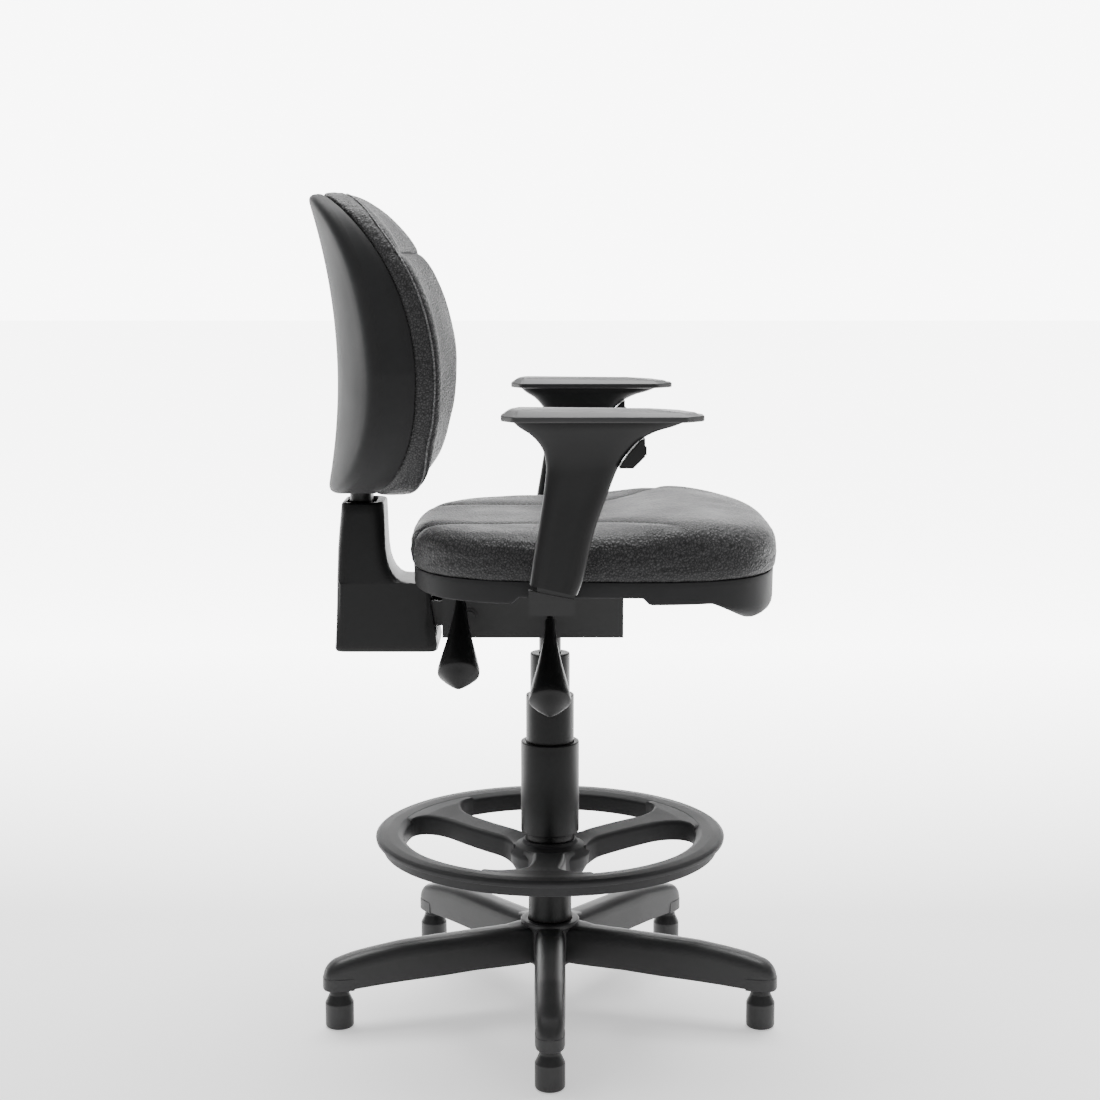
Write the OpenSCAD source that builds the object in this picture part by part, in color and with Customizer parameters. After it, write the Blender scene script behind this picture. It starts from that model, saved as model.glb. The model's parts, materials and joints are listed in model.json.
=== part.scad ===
// Drafting chair: fixed-glide star base, gas column with telescopic covers, footring,
// upholstered seat and back, L-shaped back carrier and height-adjustable T armrests.
// The chair faces +X, the sitter's left is +Y, the floor is z = 0 and the column axis is Z.

/* [Base] */
// Radius of the circle that the five glides stand on
glide_circle_r = 280; // [260:1:300]
// Diameter of a glide
glide_d = 36; // [30:1:40]
// Width of a base arm
arm_w = 39; // [34:1:44]
// Height of the top of the hub
hub_top = 114; // [110:1:116]

/* [Column] */
// Diameter of the steel column tube inside the covers
tube_d = 45; // [44:0.5:45.5]
// Diameter of the sleeve between the hub and the footring
sleeve_d = 55.5; // [54:0.5:57]
// Diameter of the gas cylinder
cylinder_d = 28; // [28:1:28]
// Outer diameter of the lowest telescopic cover
cover_lower_d = 75; // [74:0.5:78]
// Outer diameter of the middle telescopic cover
cover_mid_d = 61.6; // [61:0.2:62.4]
// Outer diameter of the top telescopic cover
cover_top_d = 50.8; // [50.4:0.2:51.2]

/* [Footring] */
// Outer diameter of the footring
ring_d = 450; // [420:5:470]
// Height of the footring's upper face
ring_top = 233; // [230:1:236]
// Width of the footring's rim
rim_w = 37; // [30:1:42]

/* [Seat] */
// Length of the seat shell from back to front
shell_len = 446; // [435:1:455]
// Width of the seat shell
shell_w = 472; // [460:1:480]
// Height of the seat shell's upper edge
shell_rim = 591.5; // [590:0.5:594]
// Height of the crown of the seat cushion
seat_top = 647; // [635:1:660]
// How far the cushion stands out past the shell
cushion_proud = 3.5; // [2:0.5:6]

/* [Mechanism] */
// Width of the steel mechanism box
mech_w = 86; // [84:1:88]
// Height of the underside of the mechanism box
mech_bottom = 492; // [490:1:494]
// Height of the tilt shaft
tilt_z = 520; // [518:1:522]

/* [Back] */
// Width of the backrest
back_w = 410; // [390:2:430]
// Height of the top of the backrest
back_top = 1041; // [1020:1:1050]
// Height of the bottom of the backrest
back_bottom = 675; // [674:1:680]
// Radius that the backrest wraps round the sitter on
wrap_r = 397; // [380:1:420]

/* [Armrests] */
// Distance between the middles of the two arm pads
arm_span = 602; // [596:2:620]
// Length of an arm pad
pad_len = 225; // [210:1:235]
// Width of an arm pad
pad_w = 70; // [60:1:80]
// Height of the top of an arm pad
pad_top = 800; // [798:1:804]
// Forward lean of the armrest posts, in degrees
post_lean = 9; // [8:0.5:10]

/* [Hidden] */
$fn = 64;
soft_steps = 48;
wall = 3;
nylon = "dimgray";
black = [0.13, 0.13, 0.14];
steel = "silver";

glide_top = 50;
hub_r = 33;
hub_bottom = 58;
tube_r = tube_d / 2;
tube_bottom = 52;
tube_top = 330;
sleeve_r = sleeve_d / 2;
sleeve_seat = hub_top - 10;
sleeve_top = 231;
cyl_r = cylinder_d / 2;
cyl_bottom = 192;
cyl_top = 545;
taper_drop = 1;
rod_r = 5;
piston_z = 330;
cover_wall = 2.2;
lower_top = 350;
mid_top = 411;
mid_bottom = 297;
top_top = 465;
top_bottom = 363;
lip = 3;
ring_bottom = 211;
ring_r = ring_d / 2;
ring_hub_bottom = 172;
ring_hub_top = 221;
knob_angle = 85;
knob_z = 192;
spoke_angles = [-95, 25, 145];

shell_bottom = 564.5;
nose_z = 538;
shell_x = 53.5;
floor_z = 572.5;
board_t = 12;
board_bottom = floor_z + wall;
cushion_bottom = board_bottom + board_t + 0.2;
notch_x0 = -38;
notch_x1 = 109;

mech_x0 = -135;
mech_x1 = 92;
mech_top = floor_z - 3.5;
plate_w = 156;
plate_x0 = -118;
plate_x1 = 104;
bolt_x = [-95, 75];
bolt_y = 62;
screw_r = 3;
gas_lever_x = 0;
gas_lever_z = 556;
lock_lever_x = -110;
lock_lever_z = 560;
lever_pivot_y = -30;
lever_rod_r = 4;
gas_bend_y = -49;
lock_bend_y = -60;
handle_r = 25.4;
handle_len = 102;
handle_tip = 25;
lever_gap = 0.06;
tilt_x = -100;
shaft_r = 6;

post_x = -237.5;
post_r = 13.5;
post_half = 15.5;
post_top = 838;
cover_x0 = -271;
cover_x1 = -144;
cover_z0 = 474;
cover_step_z = 561.6;
cover_top_z = 662;
cover_half = 49;
cover_half_top = 43.5;

back_mid_z = 830;
guide_face = post_x + 16.5;
back_board_set = 6.5;
back_board_t = 9;

arm_y = arm_span / 2;
bar_w = 44;
bar_t = 8;
arm_plate_z = 566.5;
arm_plate_t = 6;
arm_plate_x0 = -24;
arm_plate_x1 = 28;
sleeve_y0 = 288;
sleeve_y1 = 316;
pad_under = pad_top - 15;
lock_w = 24;
lock_x1 = 105;
lock_gap = 0.35;
button_d = 6.5;
button_w = 16;
button_h = 9;
button_z = 752;

// ---- helpers ----

function sgn_pow(v, e) = sign(v) * pow(abs(v), e);
// Closed superellipse of half sizes a and b; the taper narrows it towards -a
function superellipse(a, b, n, taper, steps) = [for (i = [0 : steps - 1])
    let(t = 360 * i / steps, u = sgn_pow(cos(t), 2 / n), v = sgn_pow(sin(t), 2 / n))
    [a * u, b * v * (1 - taper * (1 - u) / 2)]];

// Tube between two heights
module tube(r_out, r_in, z0, z1) {
    translate([0, 0, z0])
        difference() {
            cylinder(r = r_out, h = z1 - z0);
            translate([0, 0, -1]) cylinder(r = r_in, h = z1 - z0 + 2);
        }
}

// Flat plate standing in the XZ plane, centred on y
module upright_plate(points, y, thickness) {
    translate([0, y, 0]) rotate([90, 0, 0]) linear_extrude(height = thickness, center = true) polygon(points);
}

// Oblong post, long side along Y
module oblong(r, half, z0, z1) {
    translate([0, 0, z0]) {
        translate([-r, -half, 0]) cube([2 * r, 2 * half, z1 - z0]);
        for (s = [-1, 1]) translate([0, s * half, 0]) cylinder(r = r, h = z1 - z0);
    }
}

// Closed solid through a stack of rings, each ring a list of as many points
module loft(rings, first, last) {
    n = len(rings[0]);
    m = len(rings);
    points = concat([for (ring = rings) for (p = ring) p], [first, last]);
    sides = [for (k = [0 : m - 2]) for (i = [0 : n - 1])
        let(a = k * n + i, b = k * n + (i + 1) % n)
        each [[a, b, b + n], [a, b + n, a + n]]];
    cap0 = [for (i = [0 : n - 1]) [m * n, (i + 1) % n, i]];
    cap1 = [for (i = [0 : n - 1]) [m * n + 1, (m - 1) * n + i, (m - 1) * n + (i + 1) % n]];
    polyhedron(points, concat(sides, cap0, cap1));
}

module at_arm(i) { rotate([0, 0, -90 + 72 * i]) children(); }

// ---- base ----

arm_side = [[20, hub_bottom + 2], [150, 57], [262, 52], [296, 50], [300, 56], [300, 70], [295, 80],
    [284, 88], [262, 94], [200, 103], [120, 110], [20, hub_top - 2]];
arm_inside = [[40, 40], [262, 40], [262, 88], [200, 97], [120, 104], [40, 106]];

module base_arm() {
    difference() {
        intersection() {
            upright_plate(arm_side, 0, arm_w);
            linear_extrude(height = 200)
                polygon([[10, -arm_w / 2], [270, -arm_w / 2], [292, -15], [301, -9], [301, 9],
                    [292, 15], [270, arm_w / 2], [10, arm_w / 2]]);
        }
        upright_plate(arm_inside, 0, arm_w - 8);
        translate([glide_circle_r, 0, 0]) cylinder(r = 5.5, h = 80);
    }
    for (r = [80 : 60 : 200])
        translate([r, -arm_w / 2 + 2, 66]) cube([4, arm_w - 4, 30]);
}

module base_star() {
    color(nylon)
        difference() {
            union() {
                for (i = [0 : 4]) at_arm(i) base_arm();
                rotate_extrude() polygon([[0, hub_bottom], [31.5, hub_bottom], [hub_r, 100], [38, 109],
                    [38, hub_top], [0, hub_top]]);
            }
            translate([0, 0, 40]) cylinder(r = tube_r + 0.05, h = 100);
            translate([0, 0, sleeve_seat]) cylinder(r = sleeve_r + 0.1, h = 30);
            translate([0, 0, 40]) tube(29.05, 26, 0, 30);
        }
}

module hub_ring() { color(steel) tube(29, 26.05, hub_bottom, 69.9); }

module glide(i) {
    color("dimgray") at_arm(i) translate([glide_circle_r, 0, 0])
        difference() {
            rotate_extrude() polygon([[0, 0], [glide_d / 2 - 3, 0], [glide_d / 2, 3], [glide_d / 2, 32],
                [14.5, 39], [12, glide_top], [0, glide_top]]);
            translate([0, 0, 30]) cylinder(r = 5.5, h = 40);
        }
}

module glide_stems() {
    color(steel) for (i = [0 : 4]) at_arm(i)
        translate([glide_circle_r, 0, 30]) cylinder(r = 5.45, h = 49.9);
}

// ---- column ----

module outer_tube() {
    color(black) {
        tube(tube_r, tube_r - 2, tube_bottom, tube_top);
        tube(tube_r - 1, rod_r + 0.4, tube_bottom, tube_bottom + 4);
    }
}

module guide_bush() { color("ivory") tube(tube_r - 2.05, cyl_r + 0.05, 250, tube_top - 1); }

module column_sleeve() { color(black) tube(sleeve_r, tube_r + 0.1, sleeve_seat, sleeve_top); }

module cover_stop() { color(black) tube(32, sleeve_r + 0.05, ring_hub_top + 0.4, sleeve_top); }

module cover_lower() {
    r = cover_lower_d / 2;
    color(black) {
        tube(r, r - cover_wall, sleeve_top, lower_top);
        tube(r - 1, tube_r + 0.1, sleeve_top, sleeve_top + lip);
        tube(r - 1, cover_mid_d / 2 + 0.4, lower_top - lip, lower_top);
    }
}

// Lower race of the thrust bearing with its ring of balls
module thrust_bearing() {
    color(steel) {
        tube(14, rod_r + 0.06, tube_bottom + 4, tube_bottom + 7);
        for (a = [0 : 45 : 315])
            rotate([0, 0, a]) translate([9.5, 0, tube_bottom + 8.95]) sphere(r = 1.9, $fn = 24);
    }
}

module bearing_washer() { color(steel) tube(14, rod_r, tube_bottom + 11.1, tube_bottom + 14); }

module piston_rod() {
    color(steel) {
        translate([0, 0, 45]) cylinder(r = rod_r, h = piston_z - 45);
        tube(7, rod_r - 1, tube_bottom + 14, tube_bottom + 17);
    }
}

module piston() { color(black) translate([0, 0, piston_z]) cylinder(r = cyl_r - 2.05, h = 12); }

module retaining_clip() { color(steel) tube(9, rod_r, 48.5, 51.5); }

module gas_cylinder() {
    color(steel)
        difference() {
            rotate_extrude() polygon([[0, cyl_bottom], [cyl_r, cyl_bottom], [cyl_r, mech_bottom + 3],
                [cyl_r - taper_drop, cyl_top], [0, cyl_top]]);
            translate([0, 0, cyl_bottom - 1]) cylinder(r = cyl_r - 2, h = cyl_top - cyl_bottom - 4);
            cylinder(r = 4.05, h = cyl_top + 1);
        }
}

module rod_gland() { color(black) tube(cyl_r - 2.05, rod_r + 0.05, cyl_bottom, cyl_bottom + 10); }

module valve_body() { color("goldenrod") tube(cyl_r - 2.05, 4.05, 505, 540); }

module release_pin() { color(steel) translate([0, 0, 515]) cylinder(r = 4, h = 36); }

module cover_top() {
    r = cover_top_d / 2;
    color(black) {
        tube(r, r - cover_wall, top_bottom, top_top);
        tube(cover_mid_d / 2 - cover_wall - 0.4, r - 1, top_bottom, top_bottom + lip);
        tube(r - 1, cyl_r + 0.05, top_top - 4, top_top);
    }
}

module cover_mid() {
    r = cover_mid_d / 2;
    color(black) {
        tube(r, r - cover_wall, mid_bottom, mid_top);
        tube(cover_lower_d / 2 - cover_wall - 0.4, r - 1, mid_bottom, mid_bottom + lip);
        tube(r - 1, cover_top_d / 2 + 0.4, mid_top - lip, mid_top);
    }
}

// ---- footring ----

module footring() {
    rim_in = ring_r - rim_w;
    color("gray")
        difference() {
            union() {
                rotate_extrude() polygon([[rim_in, ring_bottom + 2], [ring_r - 10, ring_bottom],
                    [ring_r - 8, 222], [ring_r, 225], [ring_r, ring_top - 4], [ring_r - 5, ring_top],
                    [rim_in + 4, ring_top], [rim_in, ring_top - 4]]);
                for (a = spoke_angles) rotate([0, 0, a])
                    upright_plate([[20, ring_hub_bottom + 8], [60, 192], [rim_in + 3, ring_bottom + 2],
                        [rim_in + 3, ring_top - 3], [150, ring_top - 5], [60, 222], [20, 219]], 0, 42);
                rotate_extrude() polygon([[0, ring_hub_bottom], [40, ring_hub_bottom], [50, 192],
                    [50, 206], [42, 216], [34, ring_hub_top], [0, ring_hub_top]]);
            }
            translate([0, 0, 100]) cylinder(r = sleeve_r + 0.08, h = 200);
            rotate([0, 0, knob_angle]) translate([20, 0, knob_z]) rotate([0, 90, 0]) cylinder(r = 4.05, h = 60);
        }
}

module ring_screw() {
    color(steel) rotate([0, 0, knob_angle]) translate([sleeve_r + 0.6, 0, knob_z])
        rotate([0, 90, 0]) cylinder(r = 4, h = 40);
}

module ring_knob() {
    color(black) rotate([0, 0, knob_angle]) translate([54, 0, knob_z]) rotate([0, 90, 0])
        difference() {
            union() {
                cylinder(r = 15, h = 22);
                for (a = [0 : 60 : 300]) rotate([0, 0, a]) translate([14, 0, 6]) cylinder(r = 5, h = 16);
            }
            translate([0, 0, -1]) cylinder(r = 4.02, h = 16);
        }
}

// ---- mechanism ----

module lever_slot(x, z) {
    translate([x, -mech_w / 2 - 1, z]) rotate([-90, 0, 0]) cylinder(r = 6.5, h = 6);
}

module mech_housing() {
    color(black)
        difference() {
            translate([mech_x0, -mech_w / 2, mech_bottom]) cube([mech_x1 - mech_x0, mech_w, mech_top - mech_bottom]);
            translate([mech_x0 - 1, -mech_w / 2 + wall, mech_bottom + wall])
                cube([mech_x1 - mech_x0 + 1 - wall, mech_w - 2 * wall, 100]);
            translate([0, 0, mech_bottom - 1]) cylinder(r = 19.05, h = 10);
            lever_slot(gas_lever_x, gas_lever_z);
            lever_slot(lock_lever_x, lock_lever_z);
            translate([tilt_x, 0, tilt_z]) rotate([90, 0, 0]) cylinder(r = shaft_r + 0.02, h = 100, center = true);
        }
}

module seat_bolts(r, z0, z1) {
    for (x = bolt_x, s = [-1, 1]) translate([x, s * bolt_y, z0]) cylinder(r = r, h = z1 - z0);
}

// Screws that hold the armrest brackets up against the seat board
module arm_bolts(r, z0, z1) {
    for (x = [-10, 14], y = [120, 160], s = [-1, 1]) translate([x, s * y, z0]) cylinder(r = r, h = z1 - z0);
}

module mech_plate() {
    color(black)
        difference() {
            translate([plate_x0, -plate_w / 2, mech_top]) cube([plate_x1 - plate_x0, plate_w, floor_z - mech_top]);
            seat_bolts(screw_r + 0.3, 560, 600);
            translate([0, 0, 560]) cylinder(r = 22, h = 30);
        }
}

module taper_socket() {
    color(steel)
        difference() {
            translate([0, 0, mech_bottom]) cylinder(r = 19, h = cyl_top - mech_bottom);
            rotate_extrude() polygon([[0, 0], [cyl_r + 0.04, 0], [cyl_r + 0.04, mech_bottom + 3],
                [cyl_r - taper_drop + 0.04, cyl_top], [cyl_r - taper_drop + 0.04, 600], [0, 600]]);
        }
}

module lever_ears(x, z) {
    for (s = [-1, 1])
        difference() {
            translate([x + s * 11 - 1.5, lever_pivot_y - 6, z - 7]) cube([3, 12, mech_top - z + 7]);
            translate([x, lever_pivot_y, z]) rotate([0, 90, 0]) cylinder(r = 2.52, h = 40, center = true);
        }
}

module lever_brackets() {
    color(steel) {
        lever_ears(gas_lever_x, gas_lever_z);
        lever_ears(lock_lever_x, lock_lever_z);
    }
}

module lever_pins() {
    color(steel) for (p = [[gas_lever_x, gas_lever_z], [lock_lever_x, lock_lever_z]])
        translate([p[0], lever_pivot_y, p[1]]) rotate([0, 90, 0]) cylinder(r = 2.5, h = 26, center = true);
}

// Bent lever rod: straight across the box, then down and out at 45 degrees
module lever_rod(x, z, inner_y, bend_y) {
    color(steel) translate([x, 0, z])
        difference() {
            union() {
                translate([0, inner_y, 0]) rotate([90, 0, 0]) cylinder(r = lever_rod_r, h = inner_y - bend_y);
                translate([0, bend_y, 0]) sphere(r = lever_rod_r + 0.4);
                translate([0, bend_y, 0]) rotate([135, 0, 0]) cylinder(r = lever_rod_r, h = 120);
                translate([-9, lever_pivot_y - 5.5, -5.5]) cube([18, 11, 11]);
            }
            translate([0, lever_pivot_y, 0]) rotate([0, 90, 0]) cylinder(r = 2.5 + lever_gap, h = 40, center = true);
        }
}

// Conical handle along the lever's sloping part; start is the distance from the bend
module lever_handle(x, z, bend_y, start) {
    neck = start + 14;
    wide = neck + handle_len;
    color(black) translate([x, bend_y, z]) rotate([135, 0, 0])
        difference() {
            rotate_extrude() polygon([[0, start], [6.5, start], [6.5, neck], [handle_r, wide - 4],
                [handle_r, wide + 2], [20, wide + 12], [0, wide + handle_tip]]);
            cylinder(r = lever_rod_r + 0.04, h = 120.05);
        }
}

module gas_lever_rod() { lever_rod(gas_lever_x, gas_lever_z, 6, gas_bend_y); }

module gas_lever_handle() { lever_handle(gas_lever_x, gas_lever_z, gas_bend_y, 49); }

module lock_lever_rod() { lever_rod(lock_lever_x, lock_lever_z, -10, lock_bend_y); }

module lock_lever_handle() { lever_handle(lock_lever_x, lock_lever_z, lock_bend_y, 12); }

module tilt_shaft() {
    color(steel) translate([tilt_x, 0, tilt_z]) rotate([90, 0, 0]) cylinder(r = shaft_r, h = 94, center = true);
}

module shaft_clips() {
    color(steel) for (s = [-1, 1]) translate([tilt_x, s * 44.2, tilt_z]) rotate([90, 0, 0])
        translate([0, 0, -0.6]) tube(9, shaft_r, 0, 1.2);
}

// Torsion spring round the tilt shaft, swept along a helix
module return_spring() {
    coil_r = 9.5;
    wire_r = 1.5;
    turns = 7;
    per_turn = 16;
    sides = 8;
    pitch = 6;
    start_y = -pitch * turns / 2;
    rings = [for (k = [0 : turns * per_turn])
        let(t = 360 * k / per_turn, y = start_y + pitch * k / per_turn)
        [for (j = [0 : sides - 1])
            let(a = 360 * j / sides, r = coil_r + wire_r * cos(a))
            [tilt_x + r * cos(t), y + wire_r * sin(a), tilt_z + r * sin(t)]]];
    last = len(rings) - 1;
    color(steel) loft(rings, [tilt_x + coil_r, start_y, tilt_z], [tilt_x + coil_r, -start_y, tilt_z]);
}

// ---- seat ----

// Plan outline of the seat, inset from the shell's outer edge
function seat_outline(inset) = [for (p = superellipse(shell_len / 2 - inset, shell_w / 2 - inset, 3.3, 0.08,
    soft_steps)) [p[0] + shell_x, p[1]]];

module seat_shell() {
    back_x = shell_x - shell_len / 2 - 20;
    front_x = shell_x + shell_len / 2 + 20;
    color(black)
        difference() {
            intersection() {
                linear_extrude(height = shell_rim) polygon(seat_outline(0));
                upright_plate([[back_x, shell_rim], [back_x, 568], [-135, shell_bottom],
                    [notch_x0 - 8, shell_bottom], [notch_x0, floor_z], [notch_x1, floor_z],
                    [notch_x1 + 8, shell_bottom], [192, shell_bottom], [250, nose_z], [266, nose_z],
                    [front_x, 575], [front_x, shell_rim]], 0, 600);
            }
            translate([0, 0, 500]) linear_extrude(height = floor_z - 500) polygon(seat_outline(4));
            translate([0, 0, board_bottom]) linear_extrude(height = 50) polygon(seat_outline(3));
            translate([-200, -56, 520]) cube([60, 112, floor_z - 520]);
            seat_bolts(screw_r + 0.3, 560, 600);
            arm_bolts(screw_r + 0.3, 560, 600);
        }
}

module seat_board() {
    color("burlywood")
        difference() {
            translate([0, 0, board_bottom]) linear_extrude(height = board_t) polygon(seat_outline(10));
            seat_bolts(screw_r + 0.1, 560, 600);
            arm_bolts(screw_r + 0.1, 560, 600);
        }
}

module seat_screws() {
    color(steel) {
        seat_bolts(screw_r, mech_top, board_bottom + 10);
        seat_bolts(5.5, mech_top - 4, mech_top);
        arm_bolts(screw_r, arm_plate_z, board_bottom + 10);
        arm_bolts(5.5, arm_plate_z - 4, arm_plate_z);
    }
}

// Rise of the cushion's crown towards the front of the seat
function seat_swell(x) = 11 * exp(-pow((x - 165) / 80, 2));

module seat_cushion() {
    levels = [[13, cushion_bottom, 0], [3, shell_rim + 0.6, 0], [4 - cushion_proud, shell_rim + 8, 0],
        [-cushion_proud, shell_rim + 20, 0], [2.5 - cushion_proud, shell_rim + 36, 0.2],
        [3, seat_top - 9, 0.5], [14, seat_top - 3.5, 0.8], [32, seat_top - 1, 1], [140, seat_top, 1]];
    rings = [for (lv = levels) [for (p = seat_outline(lv[0])) [p[0], p[1], lv[1] + lv[2] * seat_swell(p[0])]]];
    color([0.2, 0.2, 0.2]) loft(rings, [shell_x, 0, cushion_bottom], [shell_x, 0, seat_top + seat_swell(shell_x)]);
}

// ---- back carrier ----

module carrier_bar() {
    color(steel)
        difference() {
            union() {
                for (s = [-1, 1]) {
                    upright_plate([[post_x + 8, tilt_z - 14], [tilt_x, tilt_z - 14], [tilt_x, tilt_z + 14],
                        [post_x + 8, tilt_z + 24]], s * 31, 6);
                    translate([tilt_x, s * 31, tilt_z]) rotate([90, 0, 0]) cylinder(r = 14, h = 6, center = true);
                }
                translate([post_x - 8, -34, 500]) cube([66, 68, 6]);
                translate([post_x, 0, 0]) oblong(post_r, post_half, 500, post_top);
            }
            translate([post_x, 0, 0]) oblong(post_r - 3, post_half, 506, post_top + 1);
            translate([tilt_x, 0, tilt_z]) rotate([90, 0, 0]) cylinder(r = shaft_r + lever_gap, h = 90, center = true);
        }
}

// Outer form of the carrier cover, or its inside when inset is the wall thickness
module carrier_form(inset) {
    i = inset;
    intersection() {
        upright_plate([[cover_x0 + i, cover_z0 + i], [cover_x1 + (i > 0 ? 10 : 4), cover_z0 + i],
            [cover_x1 + (i > 0 ? 10 : -5), cover_step_z - i], [-185, cover_step_z - i],
            [-200 - i, 570 - i * 0.4], [-206 - i, 586 - i * 0.4], [-207 - i, cover_top_z - i],
            [-261 + i, cover_top_z - i]], 0, 120);
        rotate([90, 0, 90]) linear_extrude(height = 800, center = true)
            polygon([[-cover_half + i, 400], [cover_half - i, 400], [cover_half - i, cover_step_z],
                [cover_half_top - i, cover_top_z], [i - cover_half_top, cover_top_z],
                [i - cover_half, cover_step_z]]);
    }
}

module carrier_half(side) {
    color(black)
        difference() {
            carrier_form(0);
            carrier_form(wall);
            translate([post_x, 0, 0]) oblong(19, 18, 600, 700);
            translate([-400, side > 0 ? -99.95 : -0.05, 400]) cube([400, 100, 400]);
        }
}

module carrier_cover_right() { carrier_half(-1); }

module carrier_cover_left() { carrier_half(1); }

// ---- backrest ----

function wrap(y) = wrap_r - sqrt(wrap_r * wrap_r - y * y);
// Faces of the backrest, as x from the width y and the height z
function shell_rear(y, z) = -264 - pow(z - 819, 2) / 1418 + wrap(y);
function shell_front(y, z) = -211.5 - pow(z - 835, 2) / (z > 835 ? 620 : 2400) + wrap(y);
function crown(y, z) = shell_front(y, z) + 22;

// Outline of the backrest in the YZ plane, inset from its edge
function back_outline(inset) = [for (i = [0 : soft_steps - 1])
    let(t = 360 * i / soft_steps, up = sin(t) > 0, e = up ? 2 / 3.6 : 2 / 3,
        h = (up ? back_top - back_mid_z : back_mid_z - back_bottom) - inset,
        v = sgn_pow(sin(t), e), taper = up ? 1 - 0.1 * v : 1)
    [(back_w / 2 - inset) * sgn_pow(cos(t), e) * taper, back_mid_z + h * v]];

function back_ring(inset, face, shift) = [for (p = back_outline(inset))
    [face(p[0], p[1]) + shift, p[0], p[1]]];

rear_fn = function (y, z) shell_rear(y, z);
front_fn = function (y, z) shell_front(y, z);
crown_fn = function (y, z) crown(y, z);

module back_shell() {
    rings = [for (i = [150, 100, 60, 30, 8]) back_ring(i, rear_fn, 0),
        back_ring(0, rear_fn, 9), back_ring(0, front_fn, 0), back_ring(4, front_fn, 0),
        back_ring(4, rear_fn, 10), back_ring(10, rear_fn, 4.5),
        each [for (i = [30, 60, 100, 150]) back_ring(i, rear_fn, 4)]];
    mid = rear_fn(0, back_mid_z);
    color([0.2, 0.2, 0.21])
        difference() {
            loft(rings, [mid, 0, back_mid_z], [mid + 4, 0, back_mid_z]);
            translate([post_x - 17, -34, back_bottom - 10]) cube([34, 68, 40]);
        }
}

module back_board() {
    front = back_board_set + back_board_t;
    rings = [for (i = [140, 110, 80, 60, 40, 25, 12]) back_ring(i, front_fn, back_board_set),
        each [for (i = [12, 25, 40, 60, 80, 110, 140]) back_ring(i, front_fn, front)]];
    mid = front_fn(0, back_mid_z);
    color("burlywood") loft(rings, [mid + back_board_set, 0, back_mid_z], [mid + front, 0, back_mid_z]);
}

module back_cushion() {
    seat = back_board_set + back_board_t + 1.4;
    rings = [for (i = [140, 110, 80, 60, 40, 25, 10.5]) back_ring(i, front_fn, seat),
        back_ring(6, front_fn, 0.2), back_ring(-1, front_fn, 6), back_ring(-1, crown_fn, -3),
        back_ring(6, crown_fn, 7), back_ring(24, crown_fn, 17.5), back_ring(54, crown_fn, 24.5),
        back_ring(100, crown_fn, 29)];
    mid = front_fn(0, back_mid_z);
    color([0.2, 0.2, 0.2]) loft(rings, [mid + seat, 0, back_mid_z], [mid + 53, 0, back_mid_z]);
}

// Places in the YZ plane where the backrest is screwed to its guide
back_screw_places = [for (y = [-48, 48], z = [722, 758]) [y, z]];

// Steel guide that slides on the post and carries the backrest
module back_guide() {
    color(steel)
        difference() {
            union() {
                translate([post_x - 16.5, -33, 702]) cube([33, 66, 78]);
                translate([guide_face - 2.6, -60, 712]) cube([2.6, 120, 56]);
            }
            translate([post_x, 0, 0]) oblong(post_r + 0.3, post_half + 0.2, 690, 800);
            for (q = back_screw_places)
                translate([guide_face, q[0], q[1]])
                    rotate([0, 90, 0]) cylinder(r = screw_r + 0.3, h = 10, center = true);
        }
}

// Screws with their spacers
module back_screws() {
    color(steel)
        for (q = back_screw_places)
            translate([guide_face, q[0], q[1]]) rotate([0, 90, 0]) {
                spacer = front_fn(q[0], q[1]) + back_board_set - guide_face - 0.6;
                translate([0, 0, -5]) cylinder(r = screw_r, h = 5 + spacer + 7);
                translate([0, 0, -5]) cylinder(r = 5.5, h = 2.4);
                tube(6, screw_r, 0, spacer);
            }
}

// ---- armrests ----

// Point along the leaning armrest post at height z
function post_shift(z) = (z - 600) * tan(post_lean);

module arm_bracket(side) {
    plate_top = arm_plate_z + arm_plate_t;
    difference() {
        translate([arm_plate_x0, side > 0 ? 96 : -arm_y - 5, arm_plate_z])
            cube([arm_plate_x1 - arm_plate_x0, arm_y + 5 - 96, arm_plate_t]);
        arm_bolts(screw_r + 0.3, 560, 600);
    }
    upright_plate([[arm_plate_x0, plate_top], [arm_plate_x1, plate_top], [arm_plate_x1, 585],
        [arm_plate_x0, 595]], side * arm_y, 10);
    upright_plate([[8 - bar_w / 2 + post_shift(580), 580], [8 + bar_w / 2 + post_shift(580), 580],
        [8 + bar_w / 2 + post_shift(735), 735], [8 - bar_w / 2 + post_shift(735), 735]], side * arm_y, bar_t);
}

module arm_brackets() { color(black) for (s = [-1, 1]) arm_bracket(s); }

function arm_mid_y(side) = side * (sleeve_y0 + sleeve_y1) / 2;

module arm_sleeve(side) {
    gap = 0.4;
    color(black)
        difference() {
            upright_plate([[-23, 602], [30, 591], [36, 604], [49, 660], [64, 703], [77, 735], [88, 751],
                [99, 763], [116, 772], [138, 779], [150, pad_under], [-42, pad_under], [-36, 779],
                [-22, 769], [-8, 755], [-3, 742], [-5, 720], [-10, 675], [-17, 630]],
                arm_mid_y(side), sleeve_y1 - sleeve_y0);
            upright_plate([[8 - bar_w / 2 - gap + post_shift(570), 570], [8 + bar_w / 2 + gap + post_shift(570), 570],
                [8 + bar_w / 2 + gap + post_shift(742), 742], [8 - bar_w / 2 - gap + post_shift(742), 742]],
                side * arm_y, bar_t + 2 * gap);
        }
}

module arm_sleeve_right() { arm_sleeve(-1); }

module arm_sleeve_left() { arm_sleeve(1); }

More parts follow.
